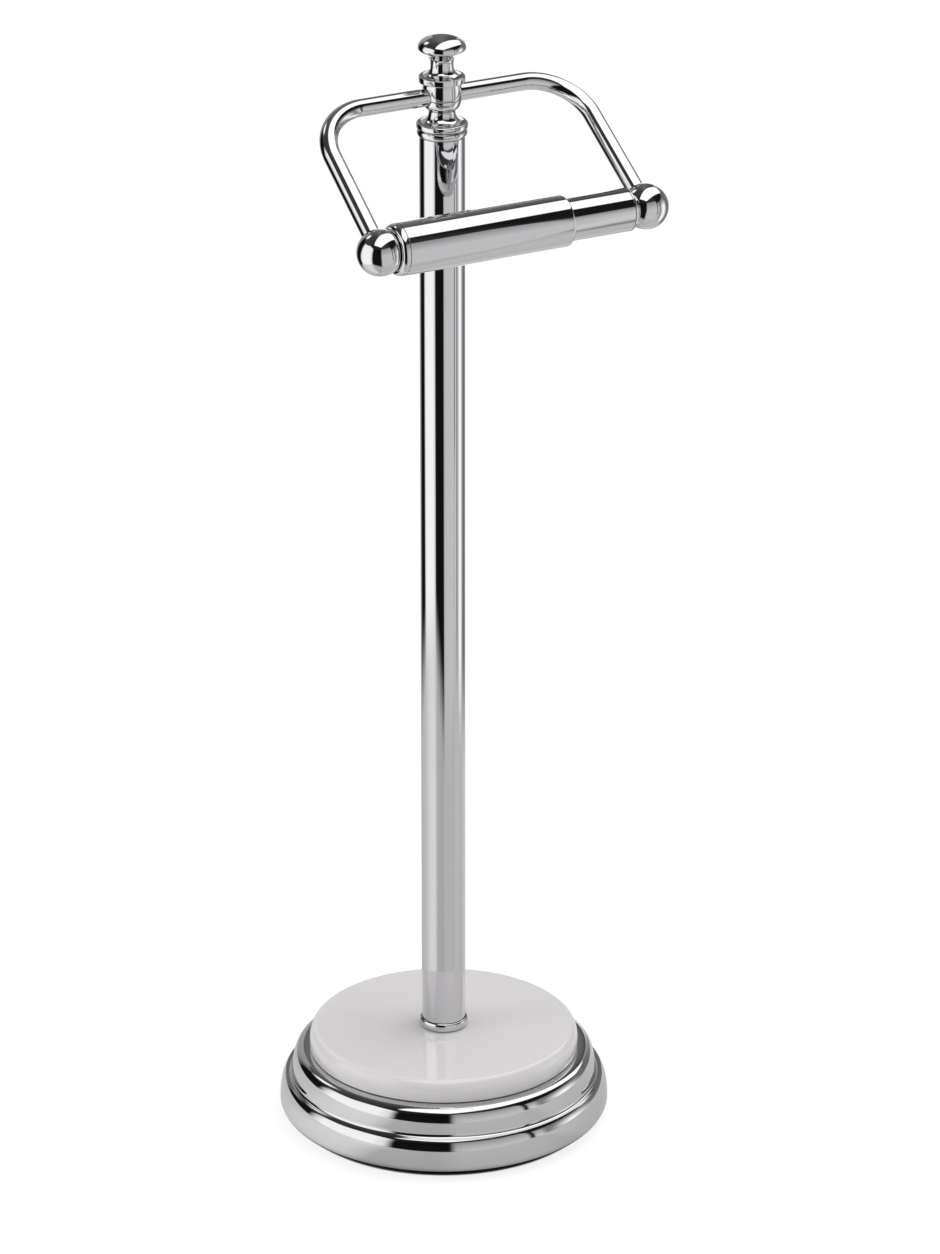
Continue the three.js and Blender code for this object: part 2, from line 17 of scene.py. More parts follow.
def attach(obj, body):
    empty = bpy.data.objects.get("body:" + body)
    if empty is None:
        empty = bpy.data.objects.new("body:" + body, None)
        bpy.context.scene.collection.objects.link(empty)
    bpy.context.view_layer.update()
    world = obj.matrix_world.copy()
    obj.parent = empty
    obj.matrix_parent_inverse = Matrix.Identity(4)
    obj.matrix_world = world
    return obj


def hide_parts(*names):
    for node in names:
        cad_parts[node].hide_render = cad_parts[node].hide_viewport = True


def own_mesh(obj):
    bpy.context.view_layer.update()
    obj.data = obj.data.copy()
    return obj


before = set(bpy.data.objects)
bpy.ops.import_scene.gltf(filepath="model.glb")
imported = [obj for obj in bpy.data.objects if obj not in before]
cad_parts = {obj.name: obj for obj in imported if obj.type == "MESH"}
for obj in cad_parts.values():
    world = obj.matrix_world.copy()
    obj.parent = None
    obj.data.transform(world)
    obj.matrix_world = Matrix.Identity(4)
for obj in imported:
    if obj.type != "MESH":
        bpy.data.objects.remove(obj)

Point = tuple[float, float]
Outline = list[Point]
Colour = tuple[float, float, float]
Stops = tuple[Point, ...]
Wiring = dict[str | int, object]
Piece = bpy.types.Object
Mesh = bpy.types.Mesh
Material = bpy.types.Material
Node = bpy.types.Node
NodeTree = bpy.types.NodeTree
Socket = bpy.types.NodeSocket

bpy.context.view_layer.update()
MM = 0.001
TINY = 1e-6
GAP = 0.3
OVERRUN = 2.0
WIDE_SIDES = 256
TURNED_SIDES = 128
ROD_SIDES = 64
SMALL_SIDES = 48
WIRE_SIDES = 16
EDGE_STEPS = 4
ARC_STEPS = 16
CURVE_STEPS = 20
FINE_STEPS = 40
BALL_STEPS = 64
BEND_STEPS = 80
CREASE = math.radians(32.0)
STRAIGHT = math.radians(150.0)
EASE_SHARE = 0.45

# Lengths that sub-assemblies share; the bores are radii and hold their clearance
STUD_BORE = 4.3
ROD_RADIUS = 5.0
ROD_AXIS = 610.8
CLAMP_BORE = 2.8
PIN_RADIUS = 3.0
BALL_SIDE = 81.0
ROLLER_FORWARD = 80.0
ROLLER_HEIGHT = 557.6

# The level directions from the stand to the camera and to the photograph's right
CAMERA_AZIMUTH = math.radians(-28.655)
TOWARDS = Vector((math.sin(CAMERA_AZIMUTH), -math.cos(CAMERA_AZIMUTH), 0))
RIGHT = Vector((-TOWARDS.y, TOWARDS.x, 0))
UP = Vector((0, 0, 1))

log = logging.getLogger("holder")


class Body(Enum):
    """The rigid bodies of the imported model."""

    STAND = "stand"
    WIDE = "roller_wide"
    NARROW = "roller_narrow"


class Slot(Enum):
    """The record's material slots."""

    CHROME = "chrome"
    STEEL = "plain_steel"
    ZINC = "zinc_alloy"
    IRON = "cast_iron"
    GLAZE = "glaze"
    PLASTIC = "black_plastic"
    RUBBER = "rubber"


# Outlines


def ellipse(
    centre: Point, width: float, rise: float, start: float, end: float, steps: int = CURVE_STEPS
) -> Outline:
    """A stretch of an ellipse.

    Args:
        centre: Radius and height of its centre.
        width: Half its size across.
        rise: Half its size in height; a negative one turns it upside down.
        start: First angle in degrees from straight out.
        end: Last angle.
        steps: How many chords it has.

    Returns:
        The points from the first angle to the last.
    """
    angles = (math.radians(start + (end - start) * step / steps) for step in range(steps + 1))
    return [(centre[0] + width * math.cos(angle), centre[1] + rise * math.sin(angle)) for angle in angles]


def drawn(pulls: Sequence[Point], steps: int = CURVE_STEPS) -> Outline:
    """A smooth curve from the first point to the last, drawn towards the two between them.

    Args:
        pulls: Four points.
        steps: How many chords it has.

    Returns:
        The points along the curve.
    """
    start, leave, arrive, end = (Vector(point) for point in pulls)
    points = []
    for step in range(steps + 1):
        share = step / steps
        rest = 1 - share
        point = start * rest**3 + leave * 3 * rest**2 * share + arrive * 3 * rest * share**2 + end * share**3
        points.append((point.x, point.y))
    return points


def bead(inner: float, proud: float, bottom: float, height: float) -> Outline:
    """The half-round outline of a bead, from its lower inner corner to its upper one."""
    return ellipse((inner, bottom + height / 2), proud, height / 2, -90, 90)


def rolled_edge(radius: float, bottom: float, height: float, roll: float) -> Outline:
    """The outline of a flange's upright edge, rolled over at its bottom and top.

    Args:
        radius: Radius of the flange.
        bottom: Height of its underside.
        height: How tall its edge is.
        roll: Radius of the rolled corners.

    Returns:
        The outline, going up.
    """
    inner = radius - roll
    lower = ellipse((inner, bottom + roll), roll, roll, -90, 0)
    return [*lower, *ellipse((inner, bottom + height - roll), roll, roll, 0, 90)]


def eased(outline: Outline, ease: float) -> Outline:
    """Breaks the sharp corners of an outline with small arcs.

    Args:
        outline: Its points, which end on the axis or where they start.
        ease: The largest radius of the arcs.

    Returns:
        The outline with its corners eased; an open one keeps its two ends.
    """
    points = [Vector(point) for point in outline]
    closed = (points[0] - points[-1]).length < TINY
    if closed:
        points.pop()
    made: Outline = []
    for index, here in enumerate(points):
        back = points[index - 1] - here
        ahead = points[(index + 1) % len(points)] - here
        open_end = not closed and index in (0, len(points) - 1)
        if open_end or min(back.length, ahead.length) < TINY or back.angle(ahead) > STRAIGHT:
            made.append((here.x, here.y))
            continue
        reach = min(ease, back.length * EASE_SHARE, ahead.length * EASE_SHARE)
        start, end = here + back.normalized() * reach, here + ahead.normalized() * reach
        for step in range(EDGE_STEPS + 1):
            share = step / EDGE_STEPS
            point = start * (1 - share) ** 2 + here * 2 * share * (1 - share) + end * share**2
            made.append((point.x, point.y))
    return [*made, made[0]] if closed else made


def rod_outline(radius: float, bottom: float, top: float) -> Outline:
    """The outline of a plain rod."""
    return [(0, bottom), (radius, bottom), (radius, top), (0, top)]


# Meshes


def new_object(name: str, mesh: Mesh) -> Piece:
    """Puts a mesh in the scene.

    Args:
        name: Name of the object.
        mesh: Its mesh.

    Returns:
        The object.
    """
    made = bpy.data.objects.new(name, mesh)
    bpy.context.scene.collection.objects.link(made)
    return made


def new_mesh(name: str, vertices: Sequence[Vector], edges: Sequence = (), faces: Sequence = ()) -> Mesh:
    """Makes a mesh.

    Args:
        name: Name of the mesh.
        vertices: Its points, in millimetres.
        edges: Pairs of points.
        faces: Rings of points.

    Returns:
        The mesh, in metres.
    """
    mesh = bpy.data.meshes.new(name)
    mesh.from_pydata([point * MM for point in vertices], edges, faces)
    return mesh


def smoothed(mesh: Mesh) -> Mesh:
    """Shades a mesh smooth, apart from its creases.

    Args:
        mesh: The mesh, which is changed.

    Returns:
        The same mesh.
    """
    mesh.shade_smooth()
    mesh.set_sharp_from_angle(angle=CREASE)
    return mesh


def turned(name: str, outline: Outline, sides: int = TURNED_SIDES) -> Piece:
    """A solid of revolution about Z.

    Args:
        name: Name of the piece.
        outline: Radius and height of each point, with the material on the left.
        sides: How many facets go round it.

    Returns:
        The object, in metres.
    """
    closed = math.dist(outline[0], outline[-1]) < TINY
    vertices: list[Vector] = []
    rows: list[list[int]] = []
    for radius, height in outline[:-1] if closed else outline:
        if radius < TINY:
            rows.append([len(vertices)] * sides)
            vertices.append(Vector((0, 0, height)))
            continue
        rows.append(list(range(len(vertices), len(vertices) + sides)))
        for side in range(sides):
            angle = 2 * math.pi * side / sides
            vertices.append(Vector((radius * math.cos(angle), radius * math.sin(angle), height)))
    faces = []
    for low, high in [*zip(rows, rows[1:]), *([(rows[-1], rows[0])] if closed else [])]:
        for side in range(sides):
            after = (side + 1) % sides
            corners = list(dict.fromkeys((low[side], low[after], high[after], high[side])))
            if len(corners) > 2:
                faces.append(corners)
    mesh = new_mesh(name, vertices, (), faces)
    mesh.validate()
    return new_object(name, smoothed(mesh))


def placed(piece: Piece, matrix: Matrix) -> Piece:
    """Moves a piece's mesh, so that its object stays at the origin."""
    piece.data.transform(matrix)
    return piece


def applied(piece: Piece) -> Piece:
    """Turns a piece with modifiers into a plain mesh.

    Args:
        piece: The piece, which is changed.

    Returns:
        The same piece.
    """
    evaluated = piece.evaluated_get(bpy.context.evaluated_depsgraph_get())
    mesh = bpy.data.meshes.new_from_object(evaluated)
    piece.modifiers.clear()
    piece.data = mesh
    return piece


def cut(piece: Piece, *cutters: Piece) -> Piece:
    """Cuts each cutter out of a piece.

    Args:
        piece: The piece to cut.
        *cutters: Closed objects, which are used up.

    Returns:
        The piece, with creases at the cuts.
    """
    for cutter in cutters:
        modifier = piece.modifiers.new("cut", "BOOLEAN")
        modifier.operation = "DIFFERENCE"
        modifier.solver = "EXACT"
        modifier.object = cutter
    applied(piece)
    for cutter in cutters:
        bpy.data.objects.remove(cutter)
    smoothed(piece.data)
    return piece


def shifted(place: Vector) -> Matrix:
    """The move by a vector in millimetres."""
    return Matrix.Translation(place * MM)


def aimed(axis: Vector) -> Matrix:
    """The turn that points +Z along an axis."""
    return axis.to_track_quat("Z", "Y").to_matrix().to_4x4()


def laid_along_x(height: float, forward: float) -> Matrix:
    """The move that lays what was made along Z on an axis along X."""
    turn = Matrix(((0, 0, 1, 0), (1, 0, 0, 0), (0, 1, 0, 0), (0, 0, 0, 1)))
    return shifted(Vector((0, -forward, height))) @ turn


# Nodes


def added(tree: NodeTree, kind: str, inputs: Wiring | None = None, **properties: object) -> Node:
    """Adds a node to a tree.

    Args:
        tree: The tree.
        kind: The node's type.
        inputs: A value, a socket or a quantity for each input, by name or place.
        **properties: The node's own settings.

    Returns:
        The node.
    """
    node = tree.nodes.new(kind)
    for label, value in properties.items():
        setattr(node, label, value)
    for label, value in (inputs or {}).items():
        source = value.socket if isinstance(value, Quantity) else value
        if isinstance(source, Socket):
            tree.links.new(source, node.inputs[label])
        else:
            node.inputs[label].default_value = source
    return node


class Tree:
    """A geometry node tree that is put together in code and used on one piece."""

    def __init__(self, name: str, **inputs: str) -> None:
        """Starts a tree.

        Args:
            name: Name of the tree.
            **inputs: Socket type of each input after the geometry.
        """
        self.tree = bpy.data.node_groups.new(name, "GeometryNodeTree")
        face = self.tree.interface
        for label, kind in {"Geometry": "Geometry", **inputs, "Material": "Material"}.items():
            face.new_socket(label.replace("_", " "), in_out="INPUT", socket_type=f"NodeSocket{kind}")
        face.new_socket("Geometry", in_out="OUTPUT", socket_type="NodeSocketGeometry")
        self.given = added(self.tree, "NodeGroupInput").outputs

    def add(self, kind: str, inputs: Wiring, **properties: object) -> Socket:
        """Adds a node and gives its first output."""
        return added(self.tree, kind, inputs, **properties).outputs[0]

    def sweep(self, line: Socket) -> None:
        """Ends the tree in a round section swept along a line, closed at both ends.

        Args:
            line: The line.
        """
        section = {"Radius": self.given["Radius"], "Resolution": self.given["Sides"]}
        profile = self.add("GeometryNodeCurvePrimitiveCircle", section)
        ends = {"Curve": line, "Profile Curve": profile, "Fill Caps": True}
        self.close(self.add("GeometryNodeCurveToMesh", ends))

    def close(self, geometry: Socket) -> None:
        """Ends the tree in smooth shading, real geometry and the material.

        Args:
            geometry: What the tree has made.
        """
        smooth = self.add("GeometryNodeSetShadeSmooth", {"Geometry": geometry})
        real = self.add("GeometryNodeRealizeInstances", {0: smooth})
        dressed = self.add("GeometryNodeSetMaterial", {"Geometry": real, "Material": self.given["Material"]})
        added(self.tree, "NodeGroupOutput", {0: dressed})

    def apply(self, piece: Piece, **values: object) -> Piece:
        """Runs the tree on a piece and keeps the result as its mesh.

        Args:
            piece: The object that holds the input geometry.
            **values: A value for each named input.

        Returns:
            The piece, with a plain mesh and no modifier.
        """
        modifier = piece.modifiers.new(self.tree.name, "NODES")
        modifier.node_group = self.tree
        for item in self.tree.interface.items_tree:
            label = item.name.replace(" ", "_")
            if item.in_out == "INPUT" and label in values:
                modifier[item.identifier] = values[label]
        applied(piece)
        smoothed(piece.data)
        return piece


def bent_rod_tree() -> Tree:
    """Rounds the corners of a line and sweeps a rod along it.

    Returns:
        The tree.
    """
    tree = Tree("BentRod", Radius="Float", Sides="Int", Bend_radius="Float", Bend_steps="Int")
    line = tree.add("GeometryNodeMeshToCurve", {"Mesh": tree.given["Geometry"]})
    bend = {"Curve": line, "Radius": tree.given["Bend radius"], "Count": tree.given["Bend steps"]}
    tree.sweep(tree.add("GeometryNodeFilletCurve", bend, mode="POLY"))
    return tree


def coil_tree() -> Tree:
    """Winds a wire into a plain helix along Z.

    Returns:
        The tree.
    """
    tree = Tree(
        "Coil",
        Radius="Float",
        Sides="Int",
        Coil_radius="Float",
        Turns="Float",
        Length="Float",
        Steps_per_turn="Int",
    )
    sources = {
        "Resolution": "Steps per turn",
        "Rotations": "Turns",
        "Start Radius": "Coil radius",
        "End Radius": "Coil radius",
        "Height": "Length",
    }
    helix = {target: tree.given[source] for target, source in sources.items()}
    tree.sweep(tree.add("GeometryNodeCurveSpiral", helix))
    return tree


def ring_of_tree() -> Tree:
    """Repeats geometry evenly round Z.

    Returns:
        The tree.
    """
    tree = Tree("RingOf", Count="Int")
    points = tree.add("GeometryNodePoints", {"Count": tree.given["Count"]})
    turn = tree.add("ShaderNodeMath", {0: 2 * math.pi, 1: tree.given["Count"]}, operation="DIVIDE")
    index = tree.add("GeometryNodeInputIndex", {})
    angle = tree.add("ShaderNodeMath", {0: turn, 1: index}, operation="MULTIPLY")
    spin = tree.add("ShaderNodeCombineXYZ", {"Z": angle})
    copies = {"Points": points, "Instance": tree.given["Geometry"], "Rotation": spin}
    tree.close(tree.add("GeometryNodeInstanceOnPoints", copies))
    return tree


class Quantity:
    """A number that the nodes of a shader work out, with plain arithmetic on it."""

    def __init__(self, tree: NodeTree, socket: Socket) -> None:
        """Holds a socket of a tree."""
        self.tree = tree
        self.socket = socket

    def step(self, operation: str, *others: "Quantity | float") -> "Quantity":
        """This number after a Math node, whose further inputs are the others."""
        node = added(self.tree, "ShaderNodeMath", dict(enumerate((self, *others))), operation=operation)
        return Quantity(self.tree, node.outputs[0])

    def __add__(self, other: "Quantity | float") -> "Quantity":
        """Their sum."""
        return self.step("ADD", other)

    def __sub__(self, other: "Quantity | float") -> "Quantity":
        """Their difference."""
        return self.step("SUBTRACT", other)

    def __mul__(self, other: "Quantity | float") -> "Quantity":
        """Their product."""
        return self.step("MULTIPLY", other)

    def flipped(self) -> "Quantity":
        """What is left of 1 without it."""
        return self.step("MULTIPLY_ADD", -1.0, 1.0)

    def rise(self, edge: float, soft: float) -> "Quantity":
        """0 below an edge and 1 above it.

        Args:
            edge: Where it is a half.
            soft: How far it goes on either side.

        Returns:
            The stepped number.
        """
        inputs = {"Value": self, "From Min": edge - soft, "From Max": edge + soft}
        node = added(self.tree, "ShaderNodeMapRange", inputs, interpolation_type="SMOOTHSTEP")
        return Quantity(self.tree, node.outputs[0])

    def between(self, low: float, high: float, soft: float) -> "Quantity":
        """1 inside a range and 0 outside it, with soft edges."""
        return self.rise(low, soft) * self.rise(high, soft).flipped()


# Finishes


@dataclass(frozen=True)
class Finish:
    """A procedural finish: mottled between two tones, unevenly polished, with a fine grain.

    Each pattern is noise on the object's own coordinates, given by its frequency per metre and its detail.
    The grain's depth is in metres.
    """

    name: str
    dark: Colour
    light: Colour
    mottling: Point
    roughness: Point
    polish: Point
    grain: Point
    depth: float
    metallic: float = 1.0
    coat: float = 0.0

    def material(self) -> Material:
        """Makes the material.

        Returns:
            The material.
        """
        material = bpy.data.materials.new(self.name)
        material.use_nodes = True
        tree = material.node_tree
        shader = tree.nodes["Principled BSDF"]
        place = added(tree, "ShaderNodeTexCoord").outputs["Object"]

        def noise(pattern: Point) -> Quantity:
            """Noise of a frequency and a detail."""
            inputs = {"Scale": pattern[0], "Detail": pattern[1], "Vector": place}
            return Quantity(tree, added(tree, "ShaderNodeTexNoise", inputs).outputs["Fac"])

        tones = {"Factor": noise(self.mottling), "A": (*self.dark, 1), "B": (*self.light, 1)}
        tone = added(tree, "ShaderNodeMix", tones, data_type="RGBA").outputs["Result"]
        smooth, rough = self.roughness
        polish = noise(self.polish).step("MULTIPLY_ADD", rough - smooth, smooth)
        bump = added(tree, "ShaderNodeBump", {"Distance": self.depth, "Height": noise(self.grain)})
        sources = {"Base Color": tone, "Roughness": polish.socket, "Normal": bump.outputs[0]}
        for label, source in sources.items():
            tree.links.new(source, shader.inputs[label])
        shader.inputs["Metallic"].default_value = self.metallic
        shader.inputs["Coat Weight"].default_value = self.coat
        return material


def grey(tone: float) -> Colour:
    """A colour without any hue."""
    return (tone, tone, tone)


FINISHES = {
    Slot.CHROME: Finish(
        "bright chrome", dark=(0.65, 0.65, 0.665), light=(0.665, 0.665, 0.68), mottling=(18, 3),
        roughness=(0.022, 0.045), polish=(60, 4), grain=(900, 2), depth=1.5e-6,
    ),
    Slot.STEEL: Finish(
        "zinc plated steel", dark=(0.5, 0.51, 0.52), light=(0.62, 0.63, 0.64), mottling=(175, 4),
        roughness=(0.25, 0.4), polish=(700, 3), grain=(700, 6), depth=2e-5,
    ),
    Slot.ZINC: Finish(
        "zinc alloy", dark=(0.52, 0.52, 0.53), light=(0.66, 0.66, 0.67), mottling=(125, 4),
        roughness=(0.3, 0.5), polish=(500, 3), grain=(500, 6), depth=3e-5,
    ),
    Slot.IRON: Finish(
        "raw cast iron", dark=grey(0.1), light=(0.2, 0.2, 0.21), mottling=(87.5, 4),
        roughness=(0.6, 0.85), polish=(350, 3), grain=(350, 6), depth=2e-4,
    ),
    Slot.GLAZE: Finish(
        "white glaze", dark=(0.745, 0.72, 0.707), light=(0.775, 0.75, 0.737), mottling=(9, 3),
        roughness=(0.1, 0.16), polish=(40, 2), grain=(120, 1), depth=4e-6, metallic=0.0, coat=0.15,
    ),
    Slot.PLASTIC: Finish(
        "black plastic", dark=grey(0.006), light=grey(0.012), mottling=(70, 4),
        roughness=(0.4, 0.6), polish=(260, 3), grain=(1800, 3), depth=8e-6, metallic=0.0,
    ),
    Slot.RUBBER: Finish(
        "black rubber", dark=grey(0.009), light=grey(0.016), mottling=(70, 4),
        roughness=(0.65, 0.85), polish=(260, 3), grain=(1800, 3), depth=2e-5, metallic=0.0,
    ),
}


class Workshop:
    """Where the sub-assemblies hand in their pieces."""

    def __init__(self) -> None:
        """Makes one material for each slot of the record."""
        self.materials: dict[Slot, Material] = {slot: finish.material() for slot, finish in FINISHES.items()}

    def paint(self, piece: Piece, slot: Slot) -> None:
        """Gives a piece the one material of a slot."""
        piece.data.materials.clear()
        piece.data.materials.append(self.materials[slot])

    def keep(self, piece: Piece, slot: Slot, body: Body, *nodes: str) -> None:
        """Dresses a piece and lets it stand for the nodes that it replaces.

        Args:
            piece: A mesh in its place in the part's frame.
            slot: Its finish.
            body: The body that it rides on.
            *nodes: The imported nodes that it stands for.
        """
        self.paint(piece, slot)
        for face in piece.data.polygons:
            face.material_index = 0
        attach(piece, body.value)
        if nodes:
            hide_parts(*nodes)
        log.info("%s rides on %s", piece.name, body.value)

    def repaint(self, slot: Slot, *nodes: str) -> None:
        """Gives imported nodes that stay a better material.

        Args:
            slot: Their finish.
            *nodes: The nodes.
        """
        for node in nodes:
            self.paint(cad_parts[node], slot)
            log.info("%s keeps its shape, in %s", node, slot.value)


# Sub-assemblies


@dataclass
class Base:
    """The weighted foot: rubber feet, cover, two-tier shell, ballast and fasteners."""

    foot_count: int = 4
    foot_inner: float = 72.0
    foot_outer: float = 84.5
    foot_width: float = 24.0
    foot_top: float = 2.5
    foot_turn: float = -118.6
    foot_ease: float = 0.45
    foot_ease_steps: int = 3
    cover_radius: float = 86.4
    cover_bottom: float = 1.5
    cover_flange: float = 1.2
    cover_plug: float = 2.4
    cover_ease: float = 0.3
    edge: float = 3.0
    widest: float = 94.5
    widest_rise: float = 6.5
    mouth: float = 86.0
    ledge_rim: float = 91.2
    ledge_rise: float = 21.5
    lower_rise: float = 0.8
    hollow: float = 4.3
    upper_foot: float = 87.4
    upper_shoulder: float = 86.1
    crown_rim: float = 76.8
    upper_rise: float = 16.5
    crown_round: float = 0.65
    wall: float = 0.8
    shell_ease: float = 0.35
    bore: float = STUD_BORE

    def face(self, inset: float) -> Outline:
        """The shell's face from its lower edge to the rim of its flat top.

        Args:
            inset: How far inside the outer face it lies.

        Returns:
            The outline, going up.
        """
        wide = self.edge + self.widest_rise
        ledge = self.edge + self.ledge_rise - inset
        top = ledge + self.upper_rise
        widest, rim = self.widest - inset, self.ledge_rim - inset
        foot, shoulder, crown = self.upper_foot - inset, self.upper_shoulder - inset, self.crown_rim - inset
        round_at = crown + (shoulder - crown) * self.crown_round
        rise = ledge + self.hollow
        stretches = (
            ((widest, wide), (widest, wide + (ledge - wide) * self.lower_rise), (rim, ledge), (rim, ledge)),
            ((rim, ledge), ((rim + foot) / 2, ledge), (foot, ledge - self.wall), (foot, rise)),
            ((foot, rise), (shoulder, top), (round_at, top), (crown, top)),
        )
        tuck = ellipse((self.mouth, wide), widest - self.mouth, self.widest_rise - inset, -90, 0)
        return [*tuck, *(point for pulls in stretches for point in drawn(pulls, FINE_STEPS)[1:])]

    def shell(self) -> Piece:
        """Makes the pressed shell.

        Returns:
            The shell.
        """
        top = self.edge + self.ledge_rise + self.upper_rise
        outer = self.face(0)
        rim = [(self.bore, top), (self.bore, top - self.wall)]
        outline = [*outer, *rim, *reversed(self.face(self.wall)), outer[0]]
        return turned("base_shell_fine", eased(outline, self.shell_ease), WIDE_SIDES)

    def arc_block(self, grow: float, bottom: float, top: float) -> Piece:
        """Makes a block on a short arc round Z.

        Args:
            grow: How much larger than a foot it is all round.
            bottom: Height of its underside.
            top: Height of its top.

        Returns:
            The block, at the first foot's place.
        """
        inner, outer = self.foot_inner - grow, self.foot_outer + grow
        half = (self.foot_width + 2 * grow) / (self.foot_inner + self.foot_outer)
        start = math.radians(self.foot_turn) - half
        angles = [start + 2 * half * step / ARC_STEPS for step in range(ARC_STEPS + 1)]
        rim = [(outer, angle) for angle in angles] + [(inner, angle) for angle in reversed(angles)]
        count = len(rim)
        ring = [(radius * math.cos(angle), radius * math.sin(angle)) for radius, angle in rim]
        vertices = [Vector((x, y, height)) for height in (bottom, top) for x, y in ring]
        faces = [list(reversed(range(count))), list(range(count, 2 * count))]
        faces += [[i, (i + 1) % count, (i + 1) % count + count, i + count] for i in range(count)]
        return new_object("block", new_mesh("block", vertices, (), faces))

    def feet(self, material: Material) -> Piece:
        """Makes the ring of feet, each with its edges eased.

        Args:
            material: The feet's material.

        Returns:
            The feet, as one piece.
        """
        feet = self.arc_block(0, 0, self.foot_top)
        feet.name = "feet"
        ease = feet.modifiers.new("ease", "BEVEL")
        ease.width, ease.segments, ease.limit_method = self.foot_ease * MM, self.foot_ease_steps, "ANGLE"
        return ring_of_tree().apply(applied(feet), Count=self.foot_count, Material=material)

    def cover(self) -> Piece:
        """Makes the underside cover, with a pocket for each foot.

        Returns:
            The cover.
        """
        flange = self.cover_bottom + self.cover_flange
        plug = self.mouth - GAP
        outline = [
            (0, self.cover_bottom),
            (self.cover_radius, self.cover_bottom),
            (self.cover_radius, flange),
            (plug, flange),
            (plug, flange + self.cover_plug),
            (0, flange + self.cover_plug),
        ]
        cover = turned("base_cover_fine", eased(outline, self.cover_ease), WIDE_SIDES)
        pockets = []
        for index in range(self.foot_count):
            pocket = self.arc_block(GAP, self.cover_bottom - OVERRUN, self.foot_top + GAP)
            pockets.append(placed(pocket, Matrix.Rotation(2 * math.pi * index / self.foot_count, 4, "Z")))
        return cut(cover, *pockets)

    def build(self, shop: Workshop) -> None:
        """Makes and hands in the pieces of the base.

        Args:
            shop: Where they are handed in.
        """
        shop.keep(self.shell(), Slot.CHROME, Body.STAND, "base_shell")
        feet = self.feet(shop.materials[Slot.RUBBER])
        shop.keep(feet, Slot.RUBBER, Body.STAND, *(f"foot_{index + 1}" for index in range(self.foot_count)))
        shop.keep(self.cover(), Slot.PLASTIC, Body.STAND, "base_cover")
        shop.repaint(Slot.IRON, "base_weight")
        shop.repaint(Slot.STEEL, "base_bolt", "spring_washer", "bolt_washer")


@dataclass
class Disc:
    """The white glazed disc on the base."""

    radius: float = 77.2
    bottom: float = 41.3
    thickness: float = 12.6
    edge_width: float = 4.7
    edge_height: float = 8.5
    ease: float = 0.6
    bore: float = STUD_BORE

    def build(self, shop: Workshop) -> None:
        """Makes and hands in the disc.

        Args:
            shop: Where it is handed in.
        """
        top = self.bottom + self.thickness
        centre = (self.radius - self.edge_width, top - self.edge_height)
        edge = ellipse(centre, self.edge_width, self.edge_height, 0, 90, FINE_STEPS)
        start = (self.bore, self.bottom)
        outline = [start, (self.radius, self.bottom), *edge, (self.bore, top), start]
        disc = turned("white_disc_fine", eased(outline, self.ease), WIDE_SIDES)
        shop.keep(disc, Slot.GLAZE, Body.STAND, "white_disc")


@dataclass
class Post:
    """The tall tube with the collar at its foot and the bead ring on its top."""

    radius: float = 12.5
    wall: float = 1.0
    bottom: float = 54.2
    length: float = 533.6
    ease: float = 0.25
    collar_wall: float = 1.1
    collar_height: float = 5.0
    cap_proud: float = 1.3
    cap_height: float = 4.1
    bore: float = STUD_BORE

    def build(self, shop: Workshop) -> None:
        """Makes and hands in the tube and its rings.

        Args:
            shop: Where they are handed in.
        """
        bottom, top = self.bottom, self.bottom + self.length
        inner, outer = self.radius - self.wall, self.radius
        outline = [(inner, bottom), (outer, bottom), (outer, top), (inner, top), (inner, bottom)]
        tube = turned("post_tube_fine", eased(outline, self.ease), WIDE_SIDES)
        shop.keep(tube, Slot.CHROME, Body.STAND, "post_tube")
        collar = bead(self.radius + GAP, self.collar_wall, self.bottom, self.collar_height)
        shop.keep(turned("foot_collar_fine", [*collar, collar[0]]), Slot.CHROME, Body.STAND, "foot_collar")
        low, high = top + GAP, top + GAP + self.cap_height
        ring = bead(self.radius, self.cap_proud, low, self.cap_height)
        outline = [(self.bore, low), *ring, (self.bore, high), (self.bore, low)]
        shop.keep(turned("post_cap_fine", outline), Slot.CHROME, Body.STAND, "post_cap")
        shop.repaint(Slot.ZINC, "lower_insert", "upper_insert")


